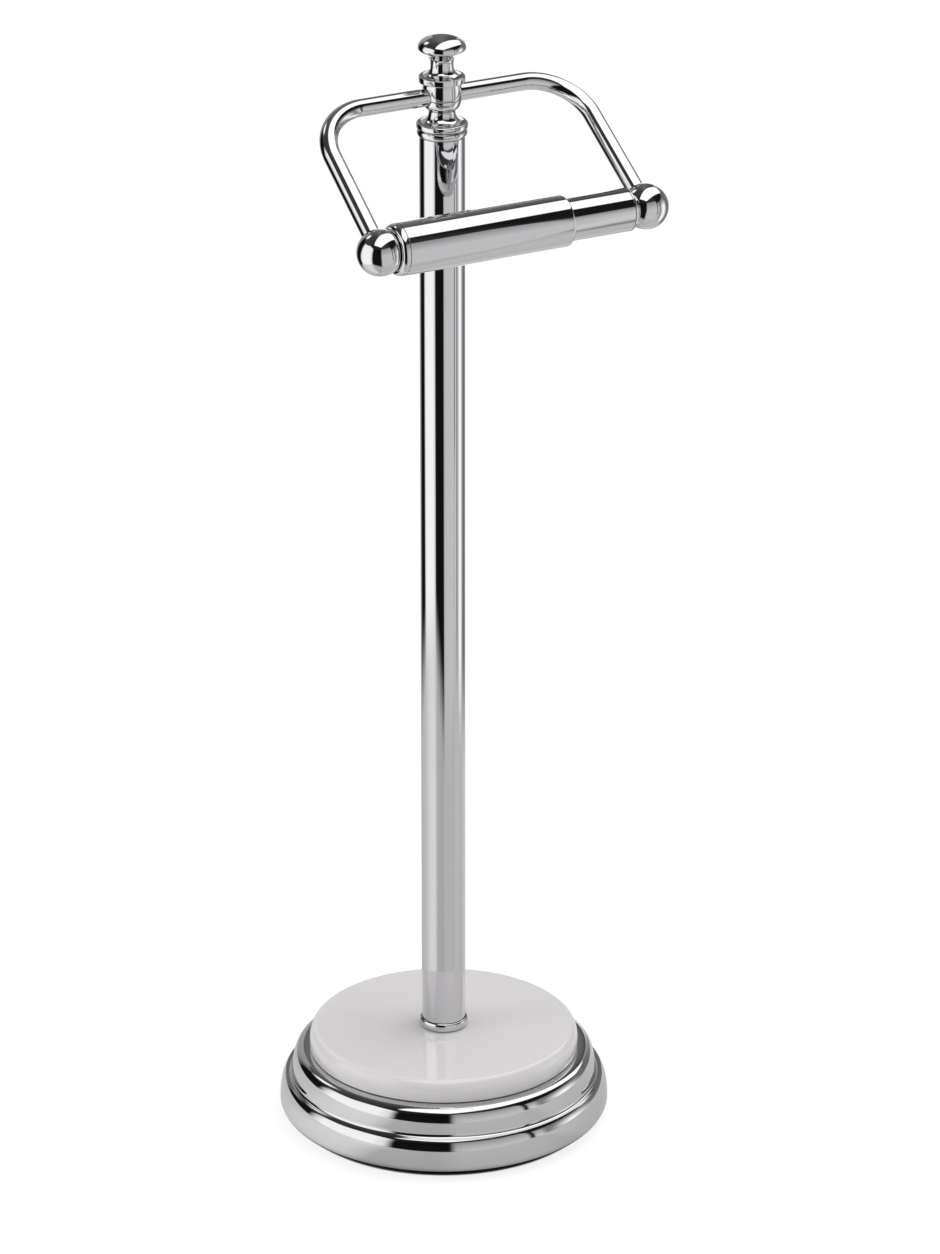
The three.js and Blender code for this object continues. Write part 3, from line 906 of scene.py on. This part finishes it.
@dataclass
class Finial:
    """The turned finial: its two halves clamp the loop's rod; heights count from the rod's axis."""

    seam_drop: float = 1.5
    seam_radius: float = 10.6
    neck_drop: float = 8.6
    neck_radius: float = 7.4
    neck_flare: float = 5.2
    flange_drop: float = 14.9
    flange_radius: float = 14.15
    flange_height: float = 3.4
    barrel_radius: float = 11.0
    barrel_rise: float = 3.2
    knob_flange_radius: float = 12.7
    knob_flange_rise: float = 11.1
    knob_flange_height: float = 3.6
    knob_flange_roll: float = 0.6
    rolled: float = 1.0
    ease: float = 0.2
    knob_neck_radius: float = 6.3
    knob_neck_rise: float = 18.0
    rim_radius: float = 13.2
    rim_rise: float = 26.8
    underside: float = 2.8
    dome: float = 7.1
    clamp_bore_reach: float = 9.3
    bore_top: float = -12.0
    axis: float = ROD_AXIS
    rod: float = ROD_RADIUS
    bore: float = STUD_BORE
    clamp_bore: float = CLAMP_BORE

    def bed(self) -> Piece:
        """What the loop's rod and its clearance take out of a half."""
        reach = self.flange_radius + OVERRUN
        return placed(turned("bed", rod_outline(self.rod + GAP, -reach, reach)), laid_along_x(self.axis, 0))

    def hole(self, radius: float, bottom: float, top: float) -> Piece:
        """A stud's hole along the axis, between heights from the rod's axis."""
        return turned("hole", rod_outline(radius, self.axis + bottom, self.axis + top), SMALL_SIDES)

    def half(self, name: str, outline: Outline, *holes: Piece) -> Piece:
        """One half, turned from an outline that counts from the rod's axis."""
        raised = [(radius, height + self.axis) for radius, height in outline]
        return cut(turned(name, eased(raised, self.ease)), self.bed(), *holes)

    def flare(self, flange: float, neck: float, top: float) -> Outline:
        """The hollow flare from the top of a flange up to the neck over it."""
        rim = flange - self.rolled
        return ellipse((rim, top + self.neck_flare), neck - rim, self.neck_flare, -90, 0)[1:]

    def hub(self) -> Piece:
        """Makes the lower half: flange, neck and bowl.

        Returns:
            The half.
        """
        bottom = -self.flange_drop - self.flange_height
        seam = -self.seam_drop - GAP / 2
        neck, rim, low = self.neck_radius, self.seam_radius, -self.neck_drop
        flange = rolled_edge(self.flange_radius, bottom, self.flange_height, self.rolled)
        flare = self.flare(self.flange_radius, neck, -self.flange_drop)
        bowl = drawn(((neck, low), (neck, low + self.rolled), (rim, low + self.rolled), (rim, seam)))
        outline = [(0, bottom), *flange, *flare, *bowl, (0, seam)]
        stud = self.hole(self.bore, bottom - OVERRUN, self.bore_top)
        clamp = self.hole(self.clamp_bore, -self.clamp_bore_reach, 0)
        return self.half("finial_hub_fine", outline, stud, clamp)

    def knob(self) -> Piece:
        """Makes the upper half: barrel, flange, neck and mushroom knob.

        Returns:
            The half.
        """
        seam = -self.seam_drop + GAP / 2
        bottom = self.knob_flange_rise - self.knob_flange_height
        wide, neck, rim = self.barrel_radius, self.knob_neck_radius, self.rim_radius
        under = self.rim_rise - self.underside
        inner, full = wide - self.rolled, seam + self.rolled
        barrel = drawn(((self.seam_radius, seam), (wide, full), (wide, self.barrel_rise), (inner, bottom)))
        flange = rolled_edge(self.knob_flange_radius, bottom, self.knob_flange_height, self.knob_flange_roll)
        flare = self.flare(self.knob_flange_radius, neck, self.knob_flange_rise)
        mushroom = drawn(((neck, self.knob_neck_rise), (neck, under), (rim, under), (rim, self.rim_rise)))
        dome = ellipse((0, self.rim_rise), rim, self.dome, 0, 90)[1:-1]
        outline = [(0, seam), *barrel, *flange, *flare, *mushroom, *dome, (0, self.rim_rise + self.dome)]
        return self.half("finial_knob_fine", outline, self.hole(self.clamp_bore, 0, self.clamp_bore_reach))

    def build(self, shop: Workshop) -> None:
        """Makes and hands in the two halves.

        Args:
            shop: Where they are handed in.
        """
        shop.keep(self.hub(), Slot.CHROME, Body.STAND, "finial_hub")
        shop.keep(self.knob(), Slot.CHROME, Body.STAND, "finial_knob")
        shop.repaint(Slot.STEEL, "hub_stud", "clamp_stud")


@dataclass
class Loop:
    """The bent rod with a ball on each end; a side is -1 for the left and 1 for the right."""

    half_width: float = 79.0
    bend: float = 30.0
    ball: float = 12.7
    seat: float = 7.7
    pin_depth: float = 6.4
    end_space: float = 0.8
    rod: float = ROD_RADIUS
    axis: float = ROD_AXIS
    clamp_bore: float = CLAMP_BORE
    pin: float = PIN_RADIUS
    half_spacing: float = BALL_SIDE
    forward: float = ROLLER_FORWARD
    height: float = ROLLER_HEIGHT

    def ball_centre(self, side: int) -> Vector:
        """The centre of a ball."""
        return Vector((side * self.half_spacing, -self.forward, self.height))

    def corner(self, side: int) -> Vector:
        """Where the arm's line meets the top run's."""
        return Vector((side * self.half_width, 0, self.axis))

    def arm_point(self, side: int, distance: float) -> Vector:
        """The point on an arm's line at a distance from its ball's centre."""
        ball = self.ball_centre(side)
        return ball + (self.corner(side) - ball).normalized() * distance

    def rod_piece(self, material: Material) -> Piece:
        """Makes the rod, with the clamping stud's hole through it.

        Args:
            material: The rod's material.

        Returns:
            The rod.
        """
        end = self.ball - self.seat
        line = [self.arm_point(-1, end), self.corner(-1), self.corner(1), self.arm_point(1, end)]
        rod = bent_rod_tree().apply(
            new_object("loop_rod_fine", new_mesh("loop_rod_fine", line, [(0, 1), (1, 2), (2, 3)])),
            Radius=self.rod * MM,
            Sides=ROD_SIDES,
            Bend_radius=self.bend * MM,
            Bend_steps=BEND_STEPS,
            Material=material,
        )
        reach = self.rod + OVERRUN
        hole = rod_outline(self.clamp_bore, self.axis - reach, self.axis + reach)
        return cut(rod, turned("hole", hole, SMALL_SIDES))

    def ball_piece(self, name: str, side: int) -> Piece:
        """Makes a ball with the rod's seat and the roller pin's socket.

        Args:
            name: Name of the piece.
            side: -1 for the left ball and 1 for the right.

        Returns:
            The ball.
        """
        centre = self.ball_centre(side)
        face = ellipse((0, 0), self.ball, self.ball, -90, 90, BALL_STEPS)[1:-1]
        ball = placed(turned(name, [(0, -self.ball), *face, (0, self.ball)]), shifted(centre))
        inner = self.arm_point(side, self.ball - self.seat - GAP)
        depth = self.arm_point(side, self.ball + OVERRUN) - inner
        seat = turned("seat", rod_outline(self.rod + GAP, 0, depth.length), SMALL_SIDES)
        placed(seat, shifted(inner) @ aimed(depth))
        floor = self.ball - self.pin_depth - self.end_space
        socket = turned("socket", rod_outline(self.pin + GAP, floor, self.ball + OVERRUN), SMALL_SIDES)
        placed(socket, shifted(centre) @ aimed(Vector((-side, 0, 0))))
        return cut(ball, seat, socket)

    def build(self, shop: Workshop) -> None:
        """Makes and hands in the rod and the balls.

        Args:
            shop: Where they are handed in.
        """
        shop.keep(self.rod_piece(shop.materials[Slot.CHROME]), Slot.CHROME, Body.STAND, "loop_rod")
        shop.keep(self.ball_piece("ball_left_fine", -1), Slot.CHROME, Body.STAND, "ball_left")
        shop.keep(self.ball_piece("ball_right_fine", 1), Slot.CHROME, Body.STAND, "ball_right")


@dataclass
class RollerEnd:
    """One end cap of the roller, measured from the ball that it nests on."""

    node: str
    side: int
    face: float
    recess: float
    rim: float
    shoulder: float
    tube_radius: float
    tube_bore: float


@dataclass
class Roller:
    """The telescopic roller: two tubes, two end caps and the spring inside; its lengths go along +X."""

    radius: float = 14.3
    bore: float = 13.5
    start: float = -69.7
    mouth: float = 30.3
    lip: float = 1.7
    lip_round: float = 1.3
    inner_radius: float = 11.9
    inner_bore: float = 10.9
    inner_start: float = 3.0
    inner_end: float = 68.4
    flare: float = 2.0
    tube_ease: float = 0.15
    cap_ease: float = 0.2
    pin_end: float = 6.3
    plug: float = 8.0
    wire: float = 0.7
    coil: float = 11.9
    turns: float = 10.0
    travel: float = 9.0
    pin: float = PIN_RADIUS
    half_spacing: float = BALL_SIDE
    forward: float = ROLLER_FORWARD
    height: float = ROLLER_HEIGHT

    @property
    def lay(self) -> Matrix:
        """The move from a mesh made along Z to the roller's axis."""
        return laid_along_x(self.height, self.forward)

    def end_cap(self, end: RollerEnd) -> Piece:
        """Makes a cap with its pin, the recess round the ball, the rounded shoulder and the plug.

        Args:
            end: Its sizes.

        Returns:
            The cap.
        """
        seam = end.face + end.shoulder
        face_angle = math.acos(end.face / end.recess)
        pin_angle = math.asin(self.pin / end.recess)
        rim = end.recess * math.sin(face_angle) + end.rim
        to_edge = [math.degrees(math.pi / 2 - angle) for angle in (pin_angle, face_angle)]
        outline = [
            (0, self.pin_end),
            (self.pin - GAP, self.pin_end),
            (self.pin, self.pin_end + GAP),
            *ellipse((0, 0), end.recess, end.recess, *to_edge),
            *ellipse((rim, seam), end.tube_radius - rim, -end.shoulder, 90, 0),
            (end.tube_bore - GAP, seam),
            (end.tube_bore - GAP, seam + self.plug),
            (0, seam + self.plug),
        ]
        cap = turned(f"{end.node}_fine", eased(outline, self.cap_ease))
        if end.side > 0:
            placed(cap, Matrix.Rotation(math.pi, 4, "X"))
        return placed(cap, self.lay @ shifted(Vector((0, 0, end.side * self.half_spacing))))

    def tube(self, name: str, outline: Outline) -> Piece:
        """A tube turned from an outline that is closed here."""
        closed = eased([*outline, outline[0]], self.tube_ease)
        return placed(turned(name, closed, WIDE_SIDES), self.lay)

    def wide_tube(self) -> Piece:
        """Makes the outer tube with the lip at its mouth.

        Returns:
            The tube.
        """
        lip = self.mouth - self.lip
        throat = self.inner_radius + GAP
        outline = [
            (self.bore, self.start),
            (self.radius, self.start),
            *ellipse((self.radius - self.lip_round, lip), self.lip_round, self.lip, 0, 90),
            (throat, self.mouth),
            (throat, lip),
            (self.bore, lip),
        ]
        return self.tube("roller_outer_fine", outline)

    def narrow_tube(self) -> Piece:
        """Makes the inner tube with the flare that guides it.

        Returns:
            The tube.
        """
        flare = self.bore - GAP
        outline = [
            (self.inner_bore, self.inner_start),
            (flare, self.inner_start),
            (flare, self.inner_start + self.flare),
            (self.inner_radius, self.inner_start + self.flare),
            (self.inner_radius, self.inner_end),
            (self.inner_bore, self.inner_end),
        ]
        return self.tube("roller_inner_fine", outline)

    def spring(self, material: Material) -> Piece:
        """Winds the spring by nodes, between the plug and the inner tube.

        Args:
            material: The spring's material.

        Returns:
            The spring.
        """
        first = self.start + self.plug + self.wire
        last = self.inner_start - GAP - self.wire
        piece = coil_tree().apply(
            new_object("roller_spring_fine", bpy.data.meshes.new("roller_spring_fine")),
            Radius=self.wire * MM,
            Sides=WIRE_SIDES,
            Coil_radius=self.coil * MM,
            Turns=self.turns,
            Length=(last - first) * MM,
            Steps_per_turn=SMALL_SIDES,
            Material=material,
        )
        return placed(piece, self.lay @ shifted(Vector((0, 0, first))))

    def build(self, shop: Workshop) -> None:
        """Makes and hands in the roller's pieces.

        Args:
            shop: Where they are handed in.
        """
        shop.keep(self.wide_tube(), Slot.CHROME, Body.WIDE, "roller_outer")
        shop.keep(self.narrow_tube(), Slot.CHROME, Body.NARROW, "roller_inner")
        outer = RollerEnd(
            "outer_cap", side=-1, face=7.1, recess=13.2, rim=0.45, shoulder=3.9,
            tube_radius=self.radius, tube_bore=self.bore,
        )
        inner = RollerEnd(
            "inner_cap", side=1, face=10.4, recess=13.5, rim=1.9, shoulder=1.9,
            tube_radius=self.inner_radius, tube_bore=self.inner_bore,
        )
        shop.keep(self.end_cap(outer), Slot.CHROME, Body.WIDE, outer.node)
        shop.keep(self.end_cap(inner), Slot.CHROME, Body.NARROW, inner.node)
        spring = self.spring(shop.materials[Slot.STEEL])
        shop.keep(spring, Slot.STEEL, Body.WIDE, "roller_spring")
        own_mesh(spring)


# Studio


@dataclass(frozen=True)
class Photographer:
    """The camera at the photograph's viewing angle; its focal length is in the photograph's pixels."""

    distance: float = 3090.754
    height: float = 1559.945
    pitch: float = 22.177
    yaw: float = -0.28
    focal: float = 5957.609
    tall: float = 1254.0
    sensor: float = 36.0
    clip_start: float = 0.05
    clip_end: float = 60.0

    def build(self) -> None:
        """Makes the camera and the view settings."""
        data = bpy.data.cameras.new("photographer")
        camera = bpy.data.objects.new("photographer", data)
        scene = bpy.context.scene
        scene.collection.objects.link(camera)
        heading = CAMERA_AZIMUTH + math.radians(self.yaw)
        down = math.radians(self.pitch)
        level = Vector((-math.sin(heading), math.cos(heading), 0)) * math.cos(down)
        camera.location = (TOWARDS * self.distance + UP * self.height) * MM
        camera.rotation_euler = (level - UP * math.sin(down)).to_track_quat("-Z", "Y").to_euler()
        data.sensor_width = self.sensor
        data.lens = self.focal / self.tall * self.sensor
        data.clip_start, data.clip_end = self.clip_start, self.clip_end
        scene.camera = camera
        scene.view_settings.view_transform = "Standard"
        log.info("camera at %s", tuple(round(value, 3) for value in camera.location))


def direction(bearing: float, rise: float) -> Vector:
    """A direction, by degrees from the camera to the photograph's right and degrees above the horizon."""
    turn, up = math.radians(bearing), math.radians(rise)
    return (TOWARDS * math.cos(turn) + RIGHT * math.sin(turn)) * math.cos(up) + UP * math.sin(up)


@dataclass(frozen=True)
class Spot:
    """A soft round glow in the mirrored room, as its direction, its core's and rim's angles and its light."""

    bearing: float
    rise: float
    core: float
    rim: float
    light: float


@dataclass(frozen=True)
class Lamp:
    """A soft square lamp aimed at the middle of the stand; lengths are in metres and power in watts."""

    name: str
    bearing: float
    rise: float
    distance: float
    size: float
    power: float
    target: float = 0.3

    def build(self) -> None:
        """Hangs the lamp, which no mirror shows."""
        data = bpy.data.lights.new(self.name, "AREA")
        data.shape, data.size, data.energy = "SQUARE", self.size, self.power
        lamp = bpy.data.objects.new(self.name, data)
        bpy.context.scene.collection.objects.link(lamp)
        away = direction(self.bearing, self.rise)
        lamp.location = UP * self.target + away * self.distance
        lamp.rotation_euler = (-away).to_track_quat("-Z", "Y").to_euler()
        lamp.visible_glossy = False


@dataclass(frozen=True)
class Studio:
    """A plain pale room: what the metal mirrors goes round it by the compass.

    Each row of stops is degrees from the camera, to the photograph's right, and the value there. Cards stand
    round the room up to card_tops, a slope, and dim by card_fades as they rise; above them are the ceilings.
    The table in mirrors ends at table_edges, and its brightness by table is painted light. A painted shadow
    under the base darkens it out to rim_shade in mirrors, and darkens the floor that the camera sees out to
    gap_shade.
    table_edges, rim_shade and gap_shade are in metres from the tube's axis.
    """

    cards: Stops = (
        (-180, 1.3), (-174, 1.1), (-170, 0.50), (-150, 0.42), (-142, 0.25), (-137, 0.10), (-134, 0.008),
        (-105, 0.008), (-99, 0.90), (-92, 1.34), (-50, 1.34), (-41, 1.05), (-35, 0.008), (4, 0.008),
        (8, 0.64), (14, 0.74), (45, 0.76), (59.8, 0.76), (61, 0.03), (63.4, 0.03), (65, 0.86), (69.5, 0.86),
        (74, 0.32), (120, 0.24), (136, 0.20), (150, 0.26), (160, 0.45), (168, 1.2), (180, 1.3),
    )
    card_tops: Stops = (
        (-180, 0.20), (-172, 0.20), (-168, 0.62), (-138, 0.62), (-112, 0.50), (-104, 0.56), (-90, 0.62),
        (-80, 0.66), (-70, 0.76), (-60, 0.77), (-46, 0.68), (-36, 0.56), (4, 0.60), (12, 0.68), (45, 0.68),
        (58, 0.64), (61.5, 0.42), (72, 0.40), (100, 0.46), (118, 0.50), (135, 0.60), (160, 0.60), (166, 0.20),
        (180, 0.20),
    )
    card_fades: Stops = (
        (-180, 0.2), (-40, 0.0), (0, 0.8), (61, 0.8), (65, 1.5), (70, 1.5), (74, 0.7), (180, 0.2),
    )
    ceilings: Stops = (
        (-180, 0.20), (-150, 0.10), (-120, 0.062), (-75, 0.055), (-45, 0.02), (0, 0.02), (30, 0.05),
        (58, 0.03), (64, 0.012), (110, 0.012), (130, 0.03), (160, 0.06), (180, 0.20),
    )
    table_edges: Stops = (
        (-180, 0.58), (-134, 0.62), (-105, 0.70), (-50, 0.76), (-35, 0.74), (4, 0.52), (12, 0.50), (50, 0.54),
        (58.5, 0.62), (60.2, 1.25), (63.6, 1.25), (65.5, 0.75), (74, 0.66), (84, 0.60), (180, 0.58),
    )
    # Painted light: how bright the table is in mirrors, round the compass.
    table: Stops = (
        (-180, 0.60), (-150, 0.60), (-139, 0.69), (-98, 0.84), (-80, 1.02), (-70, 1.08), (-52, 1.10),
        (-44, 1.06), (-37, 0.88), (-31, 0.66), (-3, 0.62), (8, 0.72), (45, 0.72), (57, 0.68), (66, 0.78),
        (90, 0.74), (120, 0.74), (140, 0.84), (160, 0.78), (180, 0.62),
    )
    shortest: float = 1e-4
    card_soft: float = 0.035
    steepest_fade: float = -0.35
    table_soft: float = 0.12
    table_paper: float = 0.82
    table_glow: float = 0.09
    table_tint: Colour = (1.0, 0.985, 0.95)
    # Painted shadow under the base: in mirrors out to rim_shade, to the camera out to gap_shade.
    rim_shade: float = 0.092
    rim_soft: float = 0.0015
    gap_shade: float = 0.086
    gap_soft: float = 0.001
    floor_paper: Colour = (0.22, 0.22, 0.22)
    floor_glow: float = 0.83
    floor_bounce: Colour = (0.6, 0.6, 0.6)
    floor_half: float = 20.0
    sky_colour: Colour = (0.96, 0.97, 1.0)
    sky_light: float = 0.72
    softbox_corner: Point = (0.11, 1.09)
    softbox_along: Point = (0.53, -0.85)
    softbox_length: float = 2.82
    softbox_width: float = 0.83
    softbox_soft: float = 0.04
    softbox_lowest: float = 0.02
    softbox_lowest_soft: float = 0.01
    softbox_light: float = 1.6
    spots: tuple[Spot, ...] = (Spot(98, -3, 5, 38, 1.4), Spot(-132, 40, 5, 13, 1.5))
    lamps: tuple[Lamp, ...] = (
        Lamp("overhead", 110, 68, 2.2, 1.6, 19),
        Lamp("left_window", -75, 15, 2.4, 1.4, 14),
    )

    def along(self, tree: NodeTree, place: Socket, axis: Vector) -> Quantity:
        """How far a place lies along a direction."""
        node = added(tree, "ShaderNodeVectorMath", {0: place, 1: axis}, operation="DOT_PRODUCT")
        return Quantity(tree, node.outputs["Value"])

    def compass(self, turn: Quantity, stops: Stops) -> Quantity:
        """A value that goes round the compass.

        Args:
            turn: Share of a turn, with a half towards the camera.
            stops: Degrees from the camera, to the photograph's right, and the value there.

        Returns:
            The value in this direction.
        """
        node = added(turn.tree, "ShaderNodeValToRGB", {"Fac": turn})
        ramp = node.color_ramp
        ramp.interpolation = "LINEAR"
        while len(ramp.elements) < len(stops):
            ramp.elements.new(0.5)
        for element, (degrees, value) in zip(ramp.elements, stops):
            element.position = degrees / 360 + 0.5
            element.color = (value, value, value, 1)
        return Quantity(turn.tree, node.outputs["Color"])

    def softbox(self, side: Quantity, front: Quantity, up: Quantity) -> Quantity:
        """Finds the long softbox overhead, whose place is a slope to the right and to the front.

        Args:
            side: How far a direction goes to the right.
            front: And to the front.
            up: And up.

        Returns:
            1 where the softbox is seen and 0 elsewhere.
        """
        height = up.step("MAXIMUM", self.shortest)
        across = side.step("DIVIDE", height) - self.softbox_corner[0]
        ahead = front.step("DIVIDE", height) - self.softbox_corner[1]
        right, back = self.softbox_along
        long = (across * right + ahead * back).between(0, self.softbox_length, self.softbox_soft)
        wide = (across * back - ahead * right).between(0, self.softbox_width, self.softbox_soft)
        return long * wide * up.rise(self.softbox_lowest, self.softbox_lowest_soft)

    def mirrored(self, tree: NodeTree, place: Socket) -> tuple[Quantity, Quantity, Quantity]:
        """What metal mirrors in a direction.

        Args:
            tree: The tree that it is made in.
            place: A direction, or a place on the floor, seen from the stand.

        Returns:
            The room's brightness, the share of a turn that the direction has, and its level length.
        """
        side, front, up = (self.along(tree, place, axis) for axis in (RIGHT, TOWARDS, UP))
        turn = side.step("ARCTAN2", front) * (1 / (2 * math.pi)) + 0.5
        level = (side * side + front * front).step("SQRT").step("MAXIMUM", self.shortest)
        steep = up.step("DIVIDE", level)
        wall = (self.compass(turn, self.card_tops) - steep).rise(0, self.card_soft)
        fade = self.compass(turn, self.card_fades) * steep.step("MAXIMUM", self.steepest_fade)
        room = self.compass(turn, self.cards) * fade.flipped() * wall
        room = room + self.compass(turn, self.ceilings) * wall.flipped()
        whole = (level * level + up * up).step("SQRT")
        for spot in self.spots:
            core, rim = math.radians(spot.core), math.radians(spot.rim)
            aim = direction(spot.bearing, spot.rise)
            off = self.along(tree, place, aim).step("DIVIDE", whole).step("ARCCOSINE")
            glow = (off * -1.0 + rim) * (1 / (rim - core))
            glow = glow.step("MAXIMUM", 0.0).step("MINIMUM", 1.0)
            glow = glow * glow * spot.light
            room = room.step("MAXIMUM", glow * wall if spot.rise < 0 else glow)
        softbox = self.softbox(side, front, up)
        return room * softbox.flipped() + softbox * self.softbox_light, turn, level

    def by_ray(self, tree: NodeTree, plain: Socket, mirrored: Socket, seen: Socket, output: str) -> None:
        """Ends a tree in a shader for each kind of ray.

        Args:
            tree: The tree.
            plain: Its shader for plain light.
            mirrored: Its shader in mirrors.
            seen: Its shader to the camera.
            output: Name of its last node.
        """
        rays = added(tree, "ShaderNodeLightPath").outputs
        for ray, shader in (("Is Glossy Ray", mirrored), ("Is Camera Ray", seen)):
            plain = added(tree, "ShaderNodeMixShader", {"Fac": rays[ray], 1: plain, 2: shader}).outputs[0]
        tree.links.new(plain, tree.nodes[output].inputs["Surface"])

    def sky(self) -> None:
        """The world: plain white to the camera, plain pale light, and the room in mirrors."""
        world = bpy.data.worlds.new("studio")
        bpy.context.scene.world = world
        world.use_nodes = True
        tree = world.node_tree
        tree.nodes.remove(tree.nodes["Background"])
        room, _, _ = self.mirrored(tree, added(tree, "ShaderNodeTexCoord").outputs["Generated"])

        def background(colour: object, strength: float = 1.0) -> Socket:
            """A background of a colour."""
            return added(tree, "ShaderNodeBackground", {"Color": colour, "Strength": strength}).outputs[0]

        plain = background((*self.sky_colour, 1), self.sky_light)
        self.by_ray(tree, plain, background(room), background((1, 1, 1, 1)), "World Output")

    def floor_material(self) -> Material:
        """White to the camera with the stand's real shadow and a painted one under the base.

        In mirrors it is a table in real and painted light, with a painted shadow under the base and the room
        beyond it.

        Returns:
            The material.
        """
        material = bpy.data.materials.new("studio floor")
        material.use_nodes = True
        tree = material.node_tree
        tree.nodes.remove(tree.nodes["Principled BSDF"])
        room, turn, distance = self.mirrored(tree, added(tree, "ShaderNodeTexCoord").outputs["Object"])

        def paper(colour: object) -> Socket:
            """A matt surface of a colour."""
            return added(tree, "ShaderNodeBsdfDiffuse", {"Color": colour}).outputs[0]

        def glow(**inputs: object) -> Socket:
            """Light of a colour or a strength."""
            return added(tree, "ShaderNodeEmission", inputs).outputs[0]

        def both(first: Socket, second: Socket) -> Socket:
            """Two shaders together."""
            return added(tree, "ShaderNodeAddShader", {0: first, 1: second}).outputs[0]

        # Painted light and shade: the table's brightness in mirrors goes round the compass by table, with a
        # painted shadow under the base out to rim_shade. It sets the paper's colour and a painted glow.
        painted_light = self.compass(turn, self.table) * distance.rise(self.rim_shade, self.rim_soft)
        tint = {0: self.table_tint, "Scale": painted_light * self.table_paper}
        tinted = added(tree, "ShaderNodeVectorMath", tint, operation="SCALE").outputs[0]
        table = both(paper(tinted), glow(Color=painted_light * self.table_glow))
        beyond = (distance - self.compass(turn, self.table_edges)).rise(0, self.table_soft)
        mirror = added(tree, "ShaderNodeMixShader", {"Fac": beyond, 1: table, 2: glow(Color=room)}).outputs[0]
        # Painted shadow: the floor that the camera sees stops glowing under the base, out to gap_shade.
        shine = distance.rise(self.gap_shade, self.gap_soft) * self.floor_glow
        seen = both(paper((*self.floor_paper, 1)), glow(Strength=shine))
        self.by_ray(tree, paper((*self.floor_bounce, 1)), mirror, seen, "Material Output")
        return material

    def floor(self) -> None:
        """The floor, which isn't part of the stand."""
        half = self.floor_half
        mesh = bpy.data.meshes.new("studio_floor")
        corners = [(-half, -half, 0), (half, -half, 0), (half, half, 0), (-half, half, 0)]
        mesh.from_pydata(corners, [], [(0, 1, 2, 3)])
        floor = new_object("studio_floor", mesh)
        mesh.materials.append(self.floor_material())

    def build(self) -> None:
        """Makes the world, the floor and the lamps."""
        self.sky()
        self.floor()
        for lamp in self.lamps:
            lamp.build()
        log.info("studio ready")


def main() -> None:
    """Builds the stand and its studio."""
    logging.basicConfig(level=logging.INFO, format="%(name)s: %(message)s")
    shop = Workshop()
    for part in (Base(), Disc(), Post(), Finial(), Loop(), Roller()):
        log.info("building the %s", type(part).__name__.lower())
        part.build(shop)
    Studio().build()
    Photographer().build()


if __name__ == "__main__":
    main()
